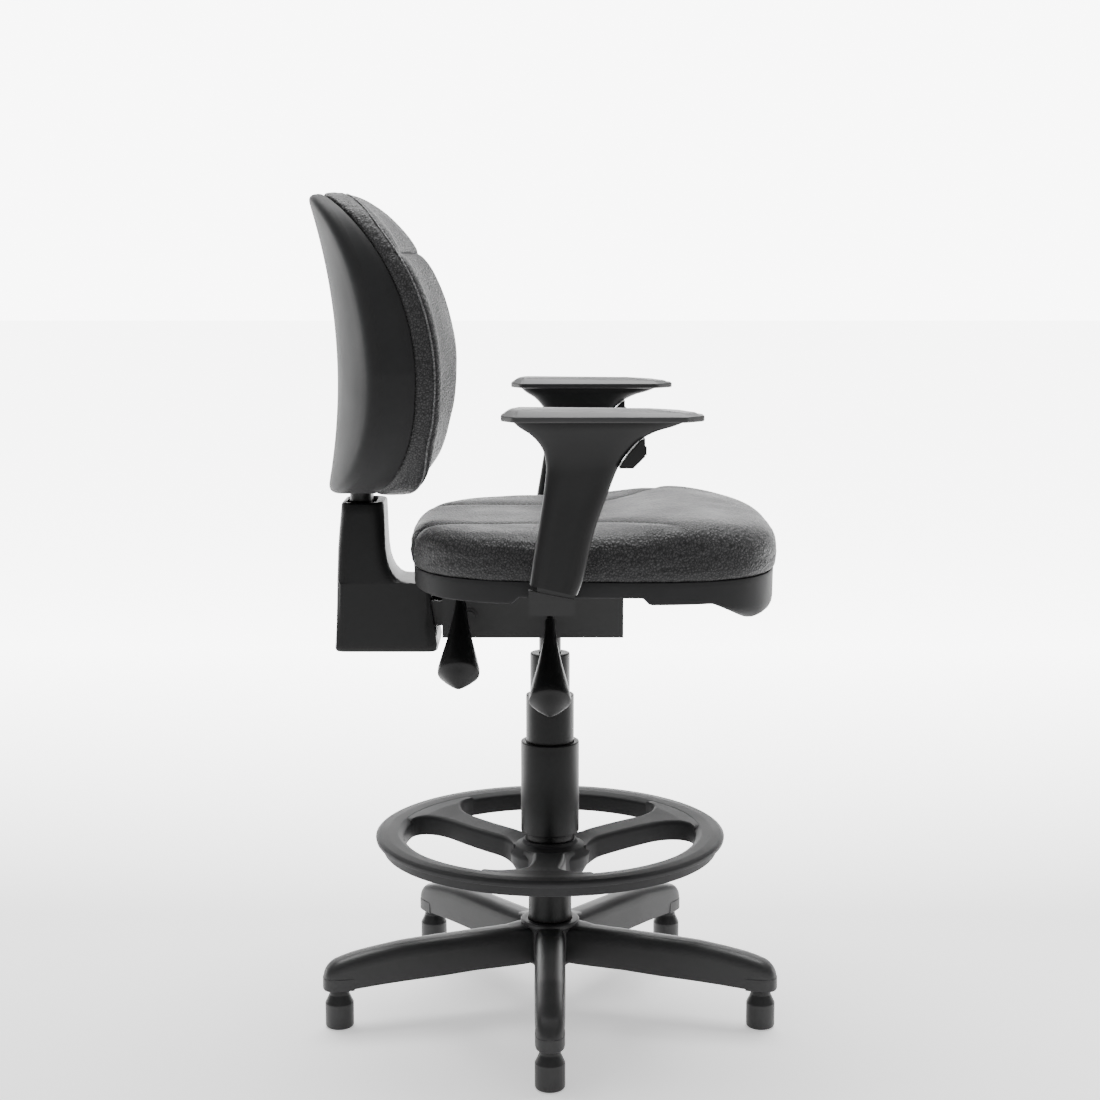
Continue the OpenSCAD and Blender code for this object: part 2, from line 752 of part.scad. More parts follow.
module arm_lock(side) {
    color(black)
        difference() {
            upright_plate([[76.4 + lock_gap, 733], [77.1 + lock_gap, 735], [88.1 + lock_gap, 751],
                [99 + lock_gap, 762.9], [lock_x1, 766], [lock_x1, 746], [92, 733]], arm_mid_y(side), lock_w);
            translate([lock_x1, arm_mid_y(side), button_z])
                cube([2 * button_d + 4, button_w + 0.8, button_h + 0.8], center = true);
        }
}

module arm_lock_right() { arm_lock(-1); }

module arm_lock_left() { arm_lock(1); }

module arm_button(side) {
    color("gray")
        translate([lock_x1 + 2 - button_d / 2, arm_mid_y(side), button_z])
            cube([button_d, button_w, button_h], center = true);
}

module arm_button_right() { arm_button(-1); }

module arm_button_left() { arm_button(1); }

module arm_pad(side) {
    half = pad_w / 2;
    x0 = -54.5;
    x1 = x0 + pad_len;
    color([0.22, 0.22, 0.22])
        intersection() {
            translate([0, side * arm_y, pad_under]) linear_extrude(height = pad_top - pad_under)
                polygon([[x0, -half + 22], [x0 + 14, -half], [x1 - 22, -half], [x1, -half + 22],
                    [x1, half - 22], [x1 - 22, half], [x0 + 14, half], [x0, half - 22]]);
            upright_plate([[x0, pad_under], [x1, pad_under], [x1, pad_top - 8], [x1 - 60, pad_top - 2],
                [60, pad_top], [x0 + 14, pad_top - 1], [x0, pad_top - 6]], side * arm_y, 100);
        }
}

module arm_pad_right() { arm_pad(-1); }

module arm_pad_left() { arm_pad(1); }

// ---- one node at a time ----

base_star();
hub_ring();
glide(0);  // glide_1
glide(1);  // glide_2
glide(2);  // glide_3
glide(3);  // glide_4
glide(4);  // glide_5
glide_stems();
outer_tube();
guide_bush();
column_sleeve();
cover_stop();
cover_lower();
thrust_bearing();
piston_rod();
piston();
bearing_washer();
retaining_clip();
gas_cylinder();
rod_gland();
valve_body();
release_pin();
cover_top();
cover_mid();
footring();
ring_knob();
ring_screw();
mech_housing();
mech_plate();
taper_socket();
lever_brackets();
lever_pins();
gas_lever_rod();
gas_lever_handle();
lock_lever_rod();
lock_lever_handle();
tilt_shaft();
shaft_clips();
return_spring();
seat_shell();
seat_board();
seat_cushion();
seat_screws();
carrier_bar();
carrier_cover_right();
carrier_cover_left();
back_guide();
back_screws();
back_shell();
back_board();
back_cushion();
arm_brackets();
arm_sleeve_right();
arm_sleeve_left();
arm_lock_right();
arm_lock_left();
arm_button_right();
arm_button_left();
arm_pad_right();
arm_pad_left();
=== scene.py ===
"""Looks of the drafting chair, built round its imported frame. Lengths are in millimetres until add_piece()."""
import json
import math

import bpy
import numpy as np
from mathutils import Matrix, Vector, noise


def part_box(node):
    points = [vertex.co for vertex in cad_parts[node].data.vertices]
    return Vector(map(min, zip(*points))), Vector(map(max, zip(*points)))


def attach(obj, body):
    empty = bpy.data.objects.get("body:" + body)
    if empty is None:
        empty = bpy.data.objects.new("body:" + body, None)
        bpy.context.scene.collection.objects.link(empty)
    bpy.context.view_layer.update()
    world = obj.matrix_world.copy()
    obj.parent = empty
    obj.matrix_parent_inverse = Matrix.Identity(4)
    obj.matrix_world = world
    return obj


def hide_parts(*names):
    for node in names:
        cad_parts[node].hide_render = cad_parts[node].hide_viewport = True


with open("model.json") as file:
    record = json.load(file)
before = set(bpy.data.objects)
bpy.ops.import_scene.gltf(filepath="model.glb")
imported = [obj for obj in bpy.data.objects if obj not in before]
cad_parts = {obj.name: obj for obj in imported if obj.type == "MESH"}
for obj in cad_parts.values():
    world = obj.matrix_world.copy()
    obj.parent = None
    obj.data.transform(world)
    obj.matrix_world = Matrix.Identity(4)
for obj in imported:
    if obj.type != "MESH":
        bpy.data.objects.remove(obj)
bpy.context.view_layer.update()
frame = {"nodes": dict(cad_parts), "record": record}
MM = 0.001
SIDES = {-1: "right", 1: "left"}


# ---- numbers read from the frame ----

def box(node):
    """Lowest and highest corner of a CAD node, in millimetres."""
    low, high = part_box(node)
    return np.array(low) / MM, np.array(high) / MM


def radius_of(node):
    """Half the width of a round CAD node."""
    low, high = box(node)
    return (high[0] - low[0]) / 2


# ---- curves ----

def smooth_step(a, b, v):
    t = np.clip((np.asarray(v, float) - a) / (b - a), 0, 1)
    return t * t * (3 - 2 * t)


def bump(v, centre, width):
    return np.exp(-((np.asarray(v, float) - centre) / width) ** 2)


def spline(points, count):
    """Smooth curve through the points, as count points evenly spaced along it."""
    p = np.array(points, float)
    chord = np.r_[0, np.cumsum(np.linalg.norm(np.diff(p, axis=0), axis=1))]
    slope = np.zeros_like(p)
    step = np.diff(p, axis=0) / np.diff(chord)[:, None]
    slope[1:-1] = (step[1:] + step[:-1]) / 2
    slope[0], slope[-1] = step[0], step[-1]
    s = np.linspace(0, chord[-1], 12 * len(p))
    i = np.clip(np.searchsorted(chord, s, "right") - 1, 0, len(p) - 2)
    h = (chord[i + 1] - chord[i])[:, None]
    t = ((s - chord[i]) / h[:, 0])[:, None]
    fine = ((2 * t ** 3 - 3 * t ** 2 + 1) * p[i] + (t ** 3 - 2 * t ** 2 + t) * h * slope[i]
            + (3 * t ** 2 - 2 * t ** 3) * p[i + 1] + (t ** 3 - t ** 2) * h * slope[i + 1])
    return even(fine, count)


def even(points, count):
    """The same path as count evenly spaced points."""
    p = np.array(points, float)
    length = np.r_[0, np.cumsum(np.linalg.norm(np.diff(p, axis=0), axis=1))]
    s = np.linspace(0, length[-1], count)
    return np.stack([np.interp(s, length, p[:, k]) for k in range(p.shape[1])], 1)


def rounded(points, radius, closed=True, steps=5):
    """Polygon or path with every corner turned into an arc. radius is one number or one for each corner."""
    p = [np.array(q, float) for q in points]
    n = len(p)
    radii = radius if hasattr(radius, "__len__") else [radius] * n
    out = []
    for i in range(n):
        if radii[i] <= 0 or (not closed and i in (0, n - 1)):
            out.append(p[i])
            continue
        a, b, c = p[i - 1], p[i], p[(i + 1) % n]
        u, v = (a - b) / np.linalg.norm(a - b), (c - b) / np.linalg.norm(c - b)
        half = math.acos(float(np.clip(u @ v, -1, 1))) / 2
        if half > 1.55:
            out.append(b)
            continue
        cut = min(radii[i] / math.tan(half), 0.49 * np.linalg.norm(a - b), 0.49 * np.linalg.norm(c - b))
        r = cut * math.tan(half)
        middle = b + (u + v) / np.linalg.norm(u + v) * r / math.sin(half)
        start, end = b + u * cut - middle, b + v * cut - middle
        turn = math.acos(float(np.clip(start @ end / (r * r), -1, 1)))
        for k in range(steps + 1):
            t = k / steps
            reach = math.sin((1 - t) * turn) * start + math.sin(t * turn) * end
            out.append(middle + reach / math.sin(turn))
    return np.array(out)


def offset(points, distance):
    """Closed polygon moved inwards by distance; it runs counter-clockwise."""
    p = np.asarray(points, float)
    edge = np.roll(p, -1, 0) - p
    normal = np.stack([-edge[:, 1], edge[:, 0]], 1)
    normal /= np.maximum(np.linalg.norm(normal, axis=1), 1e-9)[:, None]
    both = normal + np.roll(normal, 1, 0)
    both /= np.maximum((both * both).sum(1), 0.4)[:, None] / 2
    return p + both * distance


# ---- meshes ----

class Shape:
    """Vertices and faces of one piece, gathered from several simple bodies."""

    def __init__(self):
        self.verts, self.faces = [], []

    def add(self, verts, faces):
        base = len(self.verts)
        self.verts.extend(np.asarray(verts, float).reshape(-1, 3).tolist())
        self.faces.extend([base + i for i in f] for f in faces)
        return self

    def loft(self, rings, first=True, last=True, closed=True):
        """Skin over rings of equal length, with a flat face on either end where asked."""
        rings = [np.asarray(r, float) for r in rings]
        n, m = len(rings[0]), len(rings)
        faces = [[k * n + i, k * n + (i + 1) % n, (k + 1) * n + (i + 1) % n, (k + 1) * n + i]
                 for k in range(m - 1) for i in range(n if closed else n - 1)]
        if first:
            faces.append(list(range(n))[::-1])
        if last:
            faces.append([(m - 1) * n + i for i in range(n)])
        return self.add(np.concatenate(rings), faces)

    def lathe(self, profile, segments=96, place=None, capped=True):
        """Body turned from a profile of (radius, height); place maps its points into the frame."""
        turn = np.linspace(0, 2 * math.pi, segments, endpoint=False)
        rings = []
        for r, z in profile:
            ring = np.stack([r * np.cos(turn), r * np.sin(turn), np.full(segments, z)], 1)
            rings.append(ring if place is None else place(ring))
        return self.loft(rings, capped and profile[0][0] > 0.01, capped and profile[-1][0] > 0.01)

    def hoop(self, outline, segments):
        """Ring turned from a closed outline of (radius, height)."""
        return self.lathe(np.r_[outline, outline[:1]], segments, capped=False)


def placed(origin, along, across=(0, 0, 1)):
    """Function that maps points with +Z along the given direction to a place in the frame."""
    z = np.array(Vector(along).normalized())
    x = np.cross(np.array(across, float), z)
    if np.linalg.norm(x) < 1e-3:
        x = np.cross((1, 0, 0), z)
    x = x / np.linalg.norm(x)
    y = np.cross(z, x)
    return lambda p: np.asarray(origin, float) + p[:, :1] * x + p[:, 1:2] * y + p[:, 2:3] * z


def turned(points, degrees):
    """Points turned about the column's axis."""
    c, s = math.cos(math.radians(degrees)), math.sin(math.radians(degrees))
    p = np.asarray(points, float).reshape(-1, 3)
    return np.stack([c * p[:, 0] - s * p[:, 1], s * p[:, 0] + c * p[:, 1], p[:, 2]], 1)


def add_piece(name, shape, look, body, stands_for=(), sharp=38):
    """Makes the mesh object, sets its material and hangs it on its body."""
    data = bpy.data.meshes.new(name)
    data.from_pydata((np.array(shape.verts) * MM).tolist(), [], shape.faces)
    data.validate()
    data.materials.append(look)
    data.shade_smooth()
    data.set_sharp_from_angle(angle=math.radians(sharp))
    piece = bpy.data.objects.new(name, data)
    bpy.context.scene.collection.objects.link(piece)
    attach(piece, body)
    if stands_for:
        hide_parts(*stands_for)
    return piece


def disc_grid(cells):
    """Square grid seen as a disc.

    p is 0 in the middle and 1 on the edge, and (u, v) is the direction on a unit square.
    """
    t = np.linspace(-1, 1, cells + 1)
    a, b = np.meshgrid(t, t, indexing="ij")
    p = np.maximum(abs(a), abs(b))
    safe = np.where(p < 1e-9, 1, p)
    u, v = np.where(p < 1e-9, 1, a / safe), np.where(p < 1e-9, 0, b / safe)
    n = cells + 1
    faces = [[i * n + j, (i + 1) * n + j, (i + 1) * n + j + 1, i * n + j + 1]
             for i in range(cells) for j in range(cells)]
    return p.ravel(), u.ravel(), v.ravel(), faces


PROFILE_STEPS = 600


def along_profile(profile, p):
    """Columns of a profile at the places p, where 0 is its start and 1 its end."""
    share = np.linspace(0, 1, len(profile))
    return [np.interp(p, share, column) for column in profile.T]


def superellipse(u, v, power):
    """Point of the unit superellipse in the direction (u, v)."""
    size = (abs(u) ** power + abs(v) ** power) ** (1 / power)
    return u / size, v / size


def noise_at(points, scale, seed):
    """Soft noise from -1 to 1 at each point; scale is the size of its lumps, in millimetres on X, Y and Z."""
    s = np.asarray(points, float) / np.asarray(scale, float) + seed
    return np.array([noise.noise(Vector(q)) for q in s])


# ---- materials ----

def node(tree, kind, values=(), **settings):
    made = tree.nodes.new(kind)
    for key, value in settings.items():
        setattr(made, key, value)
    for key, value in dict(values).items():
        made.inputs[key].default_value = value
    return made


def link(tree, *pairs):
    for out, into in pairs:
        tree.links.new(out, into)


def start_material(name):
    material = bpy.data.materials.new(name)
    material.use_nodes = True
    tree = material.node_tree
    shader = tree.nodes["Principled BSDF"]
    place = node(tree, "ShaderNodeTexCoord").outputs["Object"]
    return material, tree, shader, place


def ramp(tree, source, low, high, start=0.3, end=0.7):
    """Value or colour that runs from low to high as source runs from start to end."""
    made = node(tree, "ShaderNodeMapRange",
                {"From Min": start, "From Max": end, "To Min": low, "To Max": high})
    link(tree, (source, made.inputs["Value"]))
    return made.outputs["Result"]


def two_tone(tree, factor, dark, light):
    mix = node(tree, "ShaderNodeMix", data_type="RGBA")
    mix.inputs[6].default_value = (*dark, 1)
    mix.inputs[7].default_value = (*light, 1)
    link(tree, (factor, mix.inputs[0]))
    return mix.outputs[2]


def noise_node(tree, place, scale, detail=3, rough=0.55):
    made = node(tree, "ShaderNodeTexNoise", {"Scale": scale, "Detail": detail, "Roughness": rough})
    link(tree, (place, made.inputs["Vector"]))
    return made.outputs["Fac"]


def bump_chain(tree, shader, layers):
    """Stacks bump layers of (height, strength, distance in metres) on the shader's normal."""
    last = None
    for height, strength, distance in layers:
        made = node(tree, "ShaderNodeBump", {"Strength": strength, "Distance": distance})
        link(tree, (height, made.inputs["Height"]))
        if last is not None:
            link(tree, (last, made.inputs["Normal"]))
        last = made.outputs["Normal"]
    link(tree, (last, shader.inputs["Normal"]))


def grey(v, blue=1.03):
    return (v, v, v * blue)


def plastic(name, tone, rough, grain=2600, depth=0.00006, spread=0.12, gloss=0.4):
    """Moulded plastic with a fine spark-eroded grain, faint flow marks and uneven sheen."""
    material, tree, shader, place = start_material(name)
    flow = noise_node(tree, place, 9, 4)
    fine = noise_node(tree, place, grain, 2, 0.6)
    link(tree, (two_tone(tree, ramp(tree, flow, 0, 1), grey(tone * (1 - spread)), grey(tone * (1 + spread))),
                shader.inputs["Base Color"]),
         (ramp(tree, flow, rough - 0.04, rough + 0.05), shader.inputs["Roughness"]))
    shader.inputs["Specular IOR Level"].default_value = gloss
    bump_chain(tree, shader, [(fine, 0.5, depth), (noise_node(tree, place, 60, 2), 0.15, 0.0004)])
    return material


def leather(name, tone, rough, cell=290, depth=0.0008, gloss=0.16):
    """Pebbled leather: rounded grain with painted shade darkening the creases between the pebbles, and an
    uneven sheen.
    """
    material, tree, shader, place = start_material(name)
    wander = noise_node(tree, place, 55, 3)
    bend = node(tree, "ShaderNodeVectorMath", operation="MULTIPLY_ADD")
    bend.inputs[1].default_value = (0.010, 0.010, 0.010)
    stretch = node(tree, "ShaderNodeVectorMath", operation="MULTIPLY")
    stretch.inputs[1].default_value = (1, 0.6, 1)
    link(tree, (place, stretch.inputs[0]), (wander, bend.inputs[0]),
         (stretch.outputs["Vector"], bend.inputs[2]))
    pebble = node(tree, "ShaderNodeTexVoronoi", {"Scale": cell, "Randomness": 1.0}, feature="SMOOTH_F1")
    pebble.inputs["Smoothness"].default_value = 0.55
    crease = node(tree, "ShaderNodeTexVoronoi", {"Scale": cell, "Randomness": 1.0},
                  feature="DISTANCE_TO_EDGE")
    link(tree, (bend.outputs["Vector"], pebble.inputs["Vector"]),
         (bend.outputs["Vector"], crease.inputs["Vector"]))
    dome = ramp(tree, pebble.outputs["Distance"], 1, 0, 0.08, 0.55)
    crease_shade_and_height = ramp(tree, crease.outputs["Distance"], 0, 1, 0.0, 0.2)
    patch = noise_node(tree, place, 14, 4)
    # painted shade: the creases between the pebbles are coloured at a third of the leather's tone
    colour = two_tone(tree, crease_shade_and_height, grey(tone * 0.35, 1.02), grey(tone * 1.05, 1.02))
    shade = node(tree, "ShaderNodeMix", data_type="RGBA", blend_type="MULTIPLY")
    shade.inputs[0].default_value = 1.0
    link(tree, (colour, shade.inputs[6]),
         (two_tone(tree, ramp(tree, patch, 0, 1), grey(0.8, 1), grey(1.0, 1)), shade.inputs[7]),
         (shade.outputs[2], shader.inputs["Base Color"]),
         (ramp(tree, patch, rough - 0.06, rough + 0.08), shader.inputs["Roughness"]))
    shader.inputs["Specular IOR Level"].default_value = gloss
    bump_chain(tree, shader, [(dome, 0.9, depth), (crease_shade_and_height, 0.4, depth * 0.7)])
    return material


def metal(name, tone, rough, metallic=1.0, brush=(40, 40, 900)):
    """Steel with fine drawn lines, or powder coat over steel when metallic is 0."""
    material, tree, shader, place = start_material(name)
    stretch = node(tree, "ShaderNodeVectorMath", operation="MULTIPLY")
    stretch.inputs[1].default_value = brush
    link(tree, (place, stretch.inputs[0]))
    lines = noise_node(tree, stretch.outputs["Vector"], 1.0, 3)
    colour = two_tone(tree, ramp(tree, lines, 0, 1), grey(tone * 0.85), grey(tone * 1.1))
    link(tree, (colour, shader.inputs["Base Color"]),
         (ramp(tree, lines, rough - 0.06, rough + 0.08), shader.inputs["Roughness"]))
    shader.inputs["Metallic"].default_value = metallic
    bump_chain(tree, shader, [(lines, 0.12, 0.0001)])
    return material


def plywood(name):
    """Wood with banded grain, for the boards inside the seat and the back."""
    material, tree, shader, place = start_material(name)
    grain = node(tree, "ShaderNodeTexWave", {"Scale": 26, "Distortion": 7, "Detail": 3}, bands_direction="Y")
    colour = two_tone(tree, grain.outputs["Fac"], (0.36, 0.24, 0.13), (0.62, 0.46, 0.28))
    link(tree, (place, grain.inputs["Vector"]), (colour, shader.inputs["Base Color"]))
    shader.inputs["Roughness"].default_value = 0.7
    bump_chain(tree, shader, [(grain.outputs["Fac"], 0.2, 0.0003)])
    return material


LOOKS = {
    "base_plastic": plastic("base_nylon", 0.024, 0.45, 1500, 0.00010),
    "ring_plastic": plastic("ring_nylon", 0.034, 0.52, 1500, 0.00010, gloss=0.14),
    "cover_plastic": plastic("cover_plastic", 0.009, 0.42, gloss=0.26),
    "shell_plastic": plastic("shell_plastic", 0.024, 0.60, 1900, 0.00010, gloss=0.12),
    "pad_plastic": plastic("pad_polyurethane", 0.020, 0.46, 1200, 0.00012, gloss=0.5),
    "glide_plastic": plastic("glide_plastic", 0.020, 0.40),
    "bush_plastic": plastic("bush_plastic", 0.60, 0.50),
    "leather": leather("leather_cover", 0.058, 0.5),
    # painted highlight: the piping leather is made over three times lighter than the cover so the welt reads as
    # a bright line
    "piping": leather("leather_piping_painted_highlight", 0.200, 0.40),
    "board": plywood("plywood"),
    "steel": metal("bright_steel", 0.55, 0.32),
    "black_steel": metal("black_powder_coat", 0.008, 0.45, 0.0, (700, 700, 700)),
}


def dress_frame():
    """Gives every CAD node the procedural material of its slot."""
    slots = {s["node"]: s["material_slot"] for s in frame["record"]["subparts"]}
    for name, piece in frame["nodes"].items():
        piece.data.materials.clear()
        piece.data.materials.append(LOOKS[slots[name]])


dress_frame()


# ---- seat ----

SEAT_POWER, SEAT_TAPER = 3.3, 0.08
SWELL, SWELL_X, SWELL_REACH = 11, 165, 80
CORE = 60


def shrunk(size, inset, mean):
    """Half size after an inset; deeper than the core it falls evenly to nothing at the mean size."""
    inset = np.asarray(inset, float)
    return np.where(inset < CORE, size - inset, (size - CORE) * (mean - inset) / (mean - CORE))


def seat_plan():
    """Middle x and half sizes of the seat shell's outline."""
    low, high = box("seat_shell")
    t = np.linspace(0, 2 * math.pi, 720)
    u, v = superellipse(np.cos(t), np.sin(t), SEAT_POWER)
    reach = (v * (1 - SEAT_TAPER * (1 - u) / 2)).max()
    return (low[0] + high[0]) / 2, (high[0] - low[0]) / 2, (high[1] - low[1]) / 2 / reach


def seat_point(u, v, inset):
    """x and y on the seat's outline in the direction (u, v), moved in by inset."""
    middle, half_x, half_y = seat_plan()
    u, v = superellipse(u, v, SEAT_POWER)
    return (middle + shrunk(half_x, inset, half_x) * u,
            shrunk(half_y, inset, half_x) * v * (1 - SEAT_TAPER * (1 - u) / 2))


def channel_y(x):
    """Distance of the seat's sewn channels from its middle line, and how steeply they flare outwards."""
    start, run, straight, flare, power = 55, 98, 96, 111, 1.35
    t = np.clip((np.asarray(x, float) - start) / run, 0, None)
    return straight + flare * t ** power, flare * power / run * t ** (power - 1)


def grid_normals(points, cells):
    """Unit normals of a square grid of points, pointing out of the piece."""
    g = points.reshape(cells + 1, cells + 1, 3)
    n = np.cross(np.gradient(g, axis=0), np.gradient(g, axis=1)).reshape(-1, 3)
    return n / np.maximum(np.linalg.norm(n, axis=1), 1e-9)[:, None]


def seat_relief(p, top, rim):
    """Height of sewn channels, puckers, folds and soft lumps along the surface's normal."""
    x, y, z = p.T
    line, slope = channel_y(x)
    away = (abs(y) - line) / np.sqrt(1 + slope ** 2)
    alive = (1 - smooth_step(132, 160, x)) * smooth_step(rim + 2, rim + 16, z)
    pucker = 1 + 0.25 * noise_at(p, (7, 7, 7), 3.0)
    relief = -alive * (4.4 * np.exp(-abs(away) / 2.4) * pucker + 2.4 * bump(away, 0, 15))
    side = 1 - smooth_step(top - 14, top - 3, z)
    relief += side * (0.8 * noise_at(p, (26, 26, 6), 11.0) + 0.35 * noise_at(p, (11, 11, 3.5), 13.0))
    relief += side * smooth_step(rim, rim + 10, z) * 0.9 * noise_at(p, (55, 55, 14), 17.0)
    relief += (1 - side) * 0.7 * noise_at(p, (42, 42, 42), 23.0)
    hollow = bump(x, 190, 34) * bump(z, rim + 32, 13) * smooth_step(150, 200, abs(y))
    return relief - 3.5 * hollow


def seat_cushion():
    """Seat pad: flat sewn middle, swollen front edge and a side band that tucks into the shell."""
    cells = 280
    rim, top = box("seat_shell")[1][2], box("seat_cushion")[1][2] - SWELL
    base = box("seat_cushion")[0][2]
    half_x = seat_plan()[1]
    profile = spline([[half_x, top, 1], [140, top, 1], [60, top, 1], [34, top - 0.8, 1], [18, top - 3, 0.85],
                      [8, top - 7.5, 0.6], [2, top - 13.5, 0.35], [-1.6, top - 22, 0.15], [-3.2, top - 34, 0],
                      [-2.8, rim + 9, 0], [-1.2, rim + 3, 0], [2, rim + 0.4, 0], [5, rim - 1.5, 0],
                      [12, base, 0]], PROFILE_STEPS)
    p, u, v, faces = disc_grid(cells)
    inset, height, lift = along_profile(profile, p)
    x, y = seat_point(u, v, inset)
    dish = 2.2 * (1 - smooth_step(60, 96, abs(y))) * (1 - smooth_step(40, 120, x))
    dish = dish * smooth_step(-150, -100, x)
    points = np.stack([x, y, height + lift * ((SWELL + 2) * bump(x, SWELL_X, SWELL_REACH) - dish)], 1)
    points += grid_normals(points, cells) * seat_relief(points, top, rim)[:, None]
    piece = add_piece("look_seat_cushion", Shape().add(points, faces), LOOKS["leather"], "seat_frame",
                      ["seat_cushion"], 80)


def skirt(x, y, bottom, nose, floor):
    """Height of the seat shell's lower edge at a point of its outline."""
    path = rounded([[-240, bottom + 8], [-135, bottom], [-46, bottom], [-38, floor], [109, floor],
                    [117, bottom], [192, bottom], [252, nose], [330, nose]],
                   [0, 12, 3, 3, 3, 3, 20, 16, 0], closed=False)
    edge = np.interp(x, path[:, 0], path[:, 1])
    gap = (1 - smooth_step(54, 60, abs(y))) * (x < -100)
    return edge + (floor - edge) * gap


def seat_shell():
    """Plastic pan under the seat pad, with its rim, lower edge and nose."""
    low, high = box("seat_shell")
    floor, rim = box("mech_plate")[1][2], high[2]
    t = np.linspace(0, 2 * math.pi, 480, endpoint=False)
    u, v = np.cos(t), np.sin(t)

    def ring(inset, height):
        x, y = seat_point(u, v, inset)
        return np.stack([x, y, np.broadcast_to(height, x.shape)], 1)

    x, y = seat_point(u, v, 0)
    edge = skirt(x, y, box("arm_brackets")[0][2] - 2, low[2], floor)
    front = smooth_step(200, 258, x)
    round_edge = 2.5 + 15 * front
    rings = [ring(4.5, rim - 4), ring(3.2, rim - 0.6), ring(2.6, rim), ring(1.0, rim), ring(0.25, rim - 0.5),
             ring(0, rim - 1.4), ring(0.4, rim - 8)]
    for a in np.linspace(math.pi / 2, 0, 6):
        rings.append(ring(0.8 + round_edge * (1 - math.sin(a)), edge + round_edge * (1 - math.cos(a))))
    wall = 1.2 + round_edge
    rings += [ring(wall + 2.0, edge), ring(wall + 2.6, edge + 0.6),
              ring(wall + 2.8, np.minimum(edge + 3, floor)), ring(wall + 3.4, floor)]
    rings += [ring(inset, floor) for inset in (60, 140, 200)]
    add_piece("look_seat_shell", Shape().loft(rings, first=False), LOOKS["shell_plastic"], "seat_frame",
              ["seat_shell"], 32)


# ---- backrest ----

WRAP_RADIUS, BACK_MEAN = 397, 183
BACK_TOP_POWER, BACK_BOTTOM_POWER, BACK_TAPER = 3.6, 3.0, 0.1
BACK_MIDDLE = 830


def wrap(y):
    return WRAP_RADIUS - np.sqrt(WRAP_RADIUS ** 2 - np.asarray(y, float) ** 2)


def shell_rear(y, z):
    return -264 - (z - 819) ** 2 / 1418 + wrap(y)


def shell_front(y, z):
    return -211.5 - (z - 835) ** 2 / np.where(z > 835, 620, 2400) + wrap(y)


def back_point(u, v, inset):
    """y and z on the backrest's outline in the direction (u, v), moved in by inset."""
    low, high = box("back_shell")
    half = (high[1] - low[1]) / 2
    a, b = superellipse(u, v, np.where(v > 0, BACK_TOP_POWER, BACK_BOTTOM_POWER))
    tall = shrunk(np.where(v > 0, high[2] - BACK_MIDDLE, BACK_MIDDLE - low[2]), inset, BACK_MEAN)
    wide = shrunk(half, inset, BACK_MEAN) * np.where(v > 0, 1 - BACK_TAPER * b, 1)
    return wide * a, BACK_MIDDLE + tall * b


def back_shell():
    """Moulded shell behind the backrest: a domed rear face, its side wall and a thin rim."""
    cells, corner = 150, 14
    profile = spline([[BACK_MEAN, 0], [120, 0], [60, 0], [30, 0], [14, 0.1], [8, 0.7], [4.2, 2.6], [1.6, 6],
                      [0.4, 10], [0, corner]], 300)
    p, u, v, faces = disc_grid(cells)
    inset, depth = along_profile(profile, p)
    y, z = back_point(u, v, inset)
    shape = Shape().add(np.stack([shell_rear(y, z) + depth, y, z], 1), [f[::-1] for f in faces])
    t = np.linspace(0, 2 * math.pi, 480, endpoint=False)

    def ring(inset, share, shift=0.0):
        y, z = back_point(np.cos(t), np.sin(t), inset)
        rear, face = shell_rear(y, z) + corner, shell_front(y, z)
        return np.stack([rear + (face - rear) * share + shift, y, z], 1)

    rings = [ring(0, 0), ring(0, 0.5), ring(0.2, 1, -1.6), ring(0.7, 1, -0.5), ring(1.6, 1), ring(3.2, 1),
             ring(4, 1, -0.8), ring(4.2, 0.4), ring(5, 0, -8)]
    rings += [ring(i, 0, -10) for i in (12, 40, 90, 150)]
    shape.loft([r[::-1] for r in rings], first=False)
    add_piece("look_back_shell", shape, LOOKS["shell_plastic"], "backrest",
              ["back_shell"], 40)


SEAM, CROWN = 23.5, 53


def seam_depth(z):
    """How far the piping stands in front of the shell at a height on the backrest's outline."""
    low, high = box("back_shell")
    return (SEAM + 18 * smooth_step(0.5, 0.97, (BACK_MIDDLE - z) / (BACK_MIDDLE - low[2]))
            + 8 * smooth_step(0.75, 1, (z - BACK_MIDDLE) / (high[2] - BACK_MIDDLE)))


def back_relief(p, past_seam):
    """Height of the crease, the seam and the wrinkles.

    past_seam is how far in front of the piping a point lies.
    """
    z, crease_z = p[:, 2], 972
    line = -3.6 * np.exp(-abs(z - crease_z) / 2.6) - 2.0 * bump(z, crease_z, 13)
    relief = line * smooth_step(-2, 6, past_seam)
    side = 1 - smooth_step(-3, 1, past_seam)
    relief -= 1.8 * bump(past_seam, -1.5, 2.6)
    edge = smooth_step(-SEAM + 2, -SEAM + 8, past_seam)
    relief += side * edge * (0.9 * noise_at(p, (9, 26, 26), 5.0) + 0.6 * noise_at(p, (6, 7, 7), 7.0))
    return relief + (1 - side) * 0.7 * noise_at(p, (40, 40, 40), 31.0)


def back_cushion():
    """Backrest pad: side band up to the piping, then a crowned front with one sewn crease."""
    cells = 240
    profile = spline([[BACK_MEAN, CROWN], [100, 51.5], [58, 47.5], [32, 43], [15, 38], [5, 30.5],
                      [0, SEAM], [-1.2, 18], [-1.6, 10], [-0.8, 4], [1.6, 1.2], [5, 0.3],
                      [12, 0.2]], PROFILE_STEPS)
    p, u, v, faces = disc_grid(cells)
    inset, flat_depth = along_profile(profile, p)
    y, z = back_point(u, v, inset)
    seam = seam_depth(back_point(u, v, 0)[1])
    depth = np.where(flat_depth < SEAM, flat_depth * seam / SEAM,
                     seam + (flat_depth - SEAM) * (CROWN - seam) / (CROWN - SEAM))
    points = np.stack([shell_front(y, z) + depth, y, z], 1)
    points += grid_normals(points, cells) * back_relief(points, depth - seam)[:, None]
    piece = add_piece("look_back_cushion", Shape().add(points, faces), LOOKS["leather"], "backrest",
                      ["back_cushion"], 80)


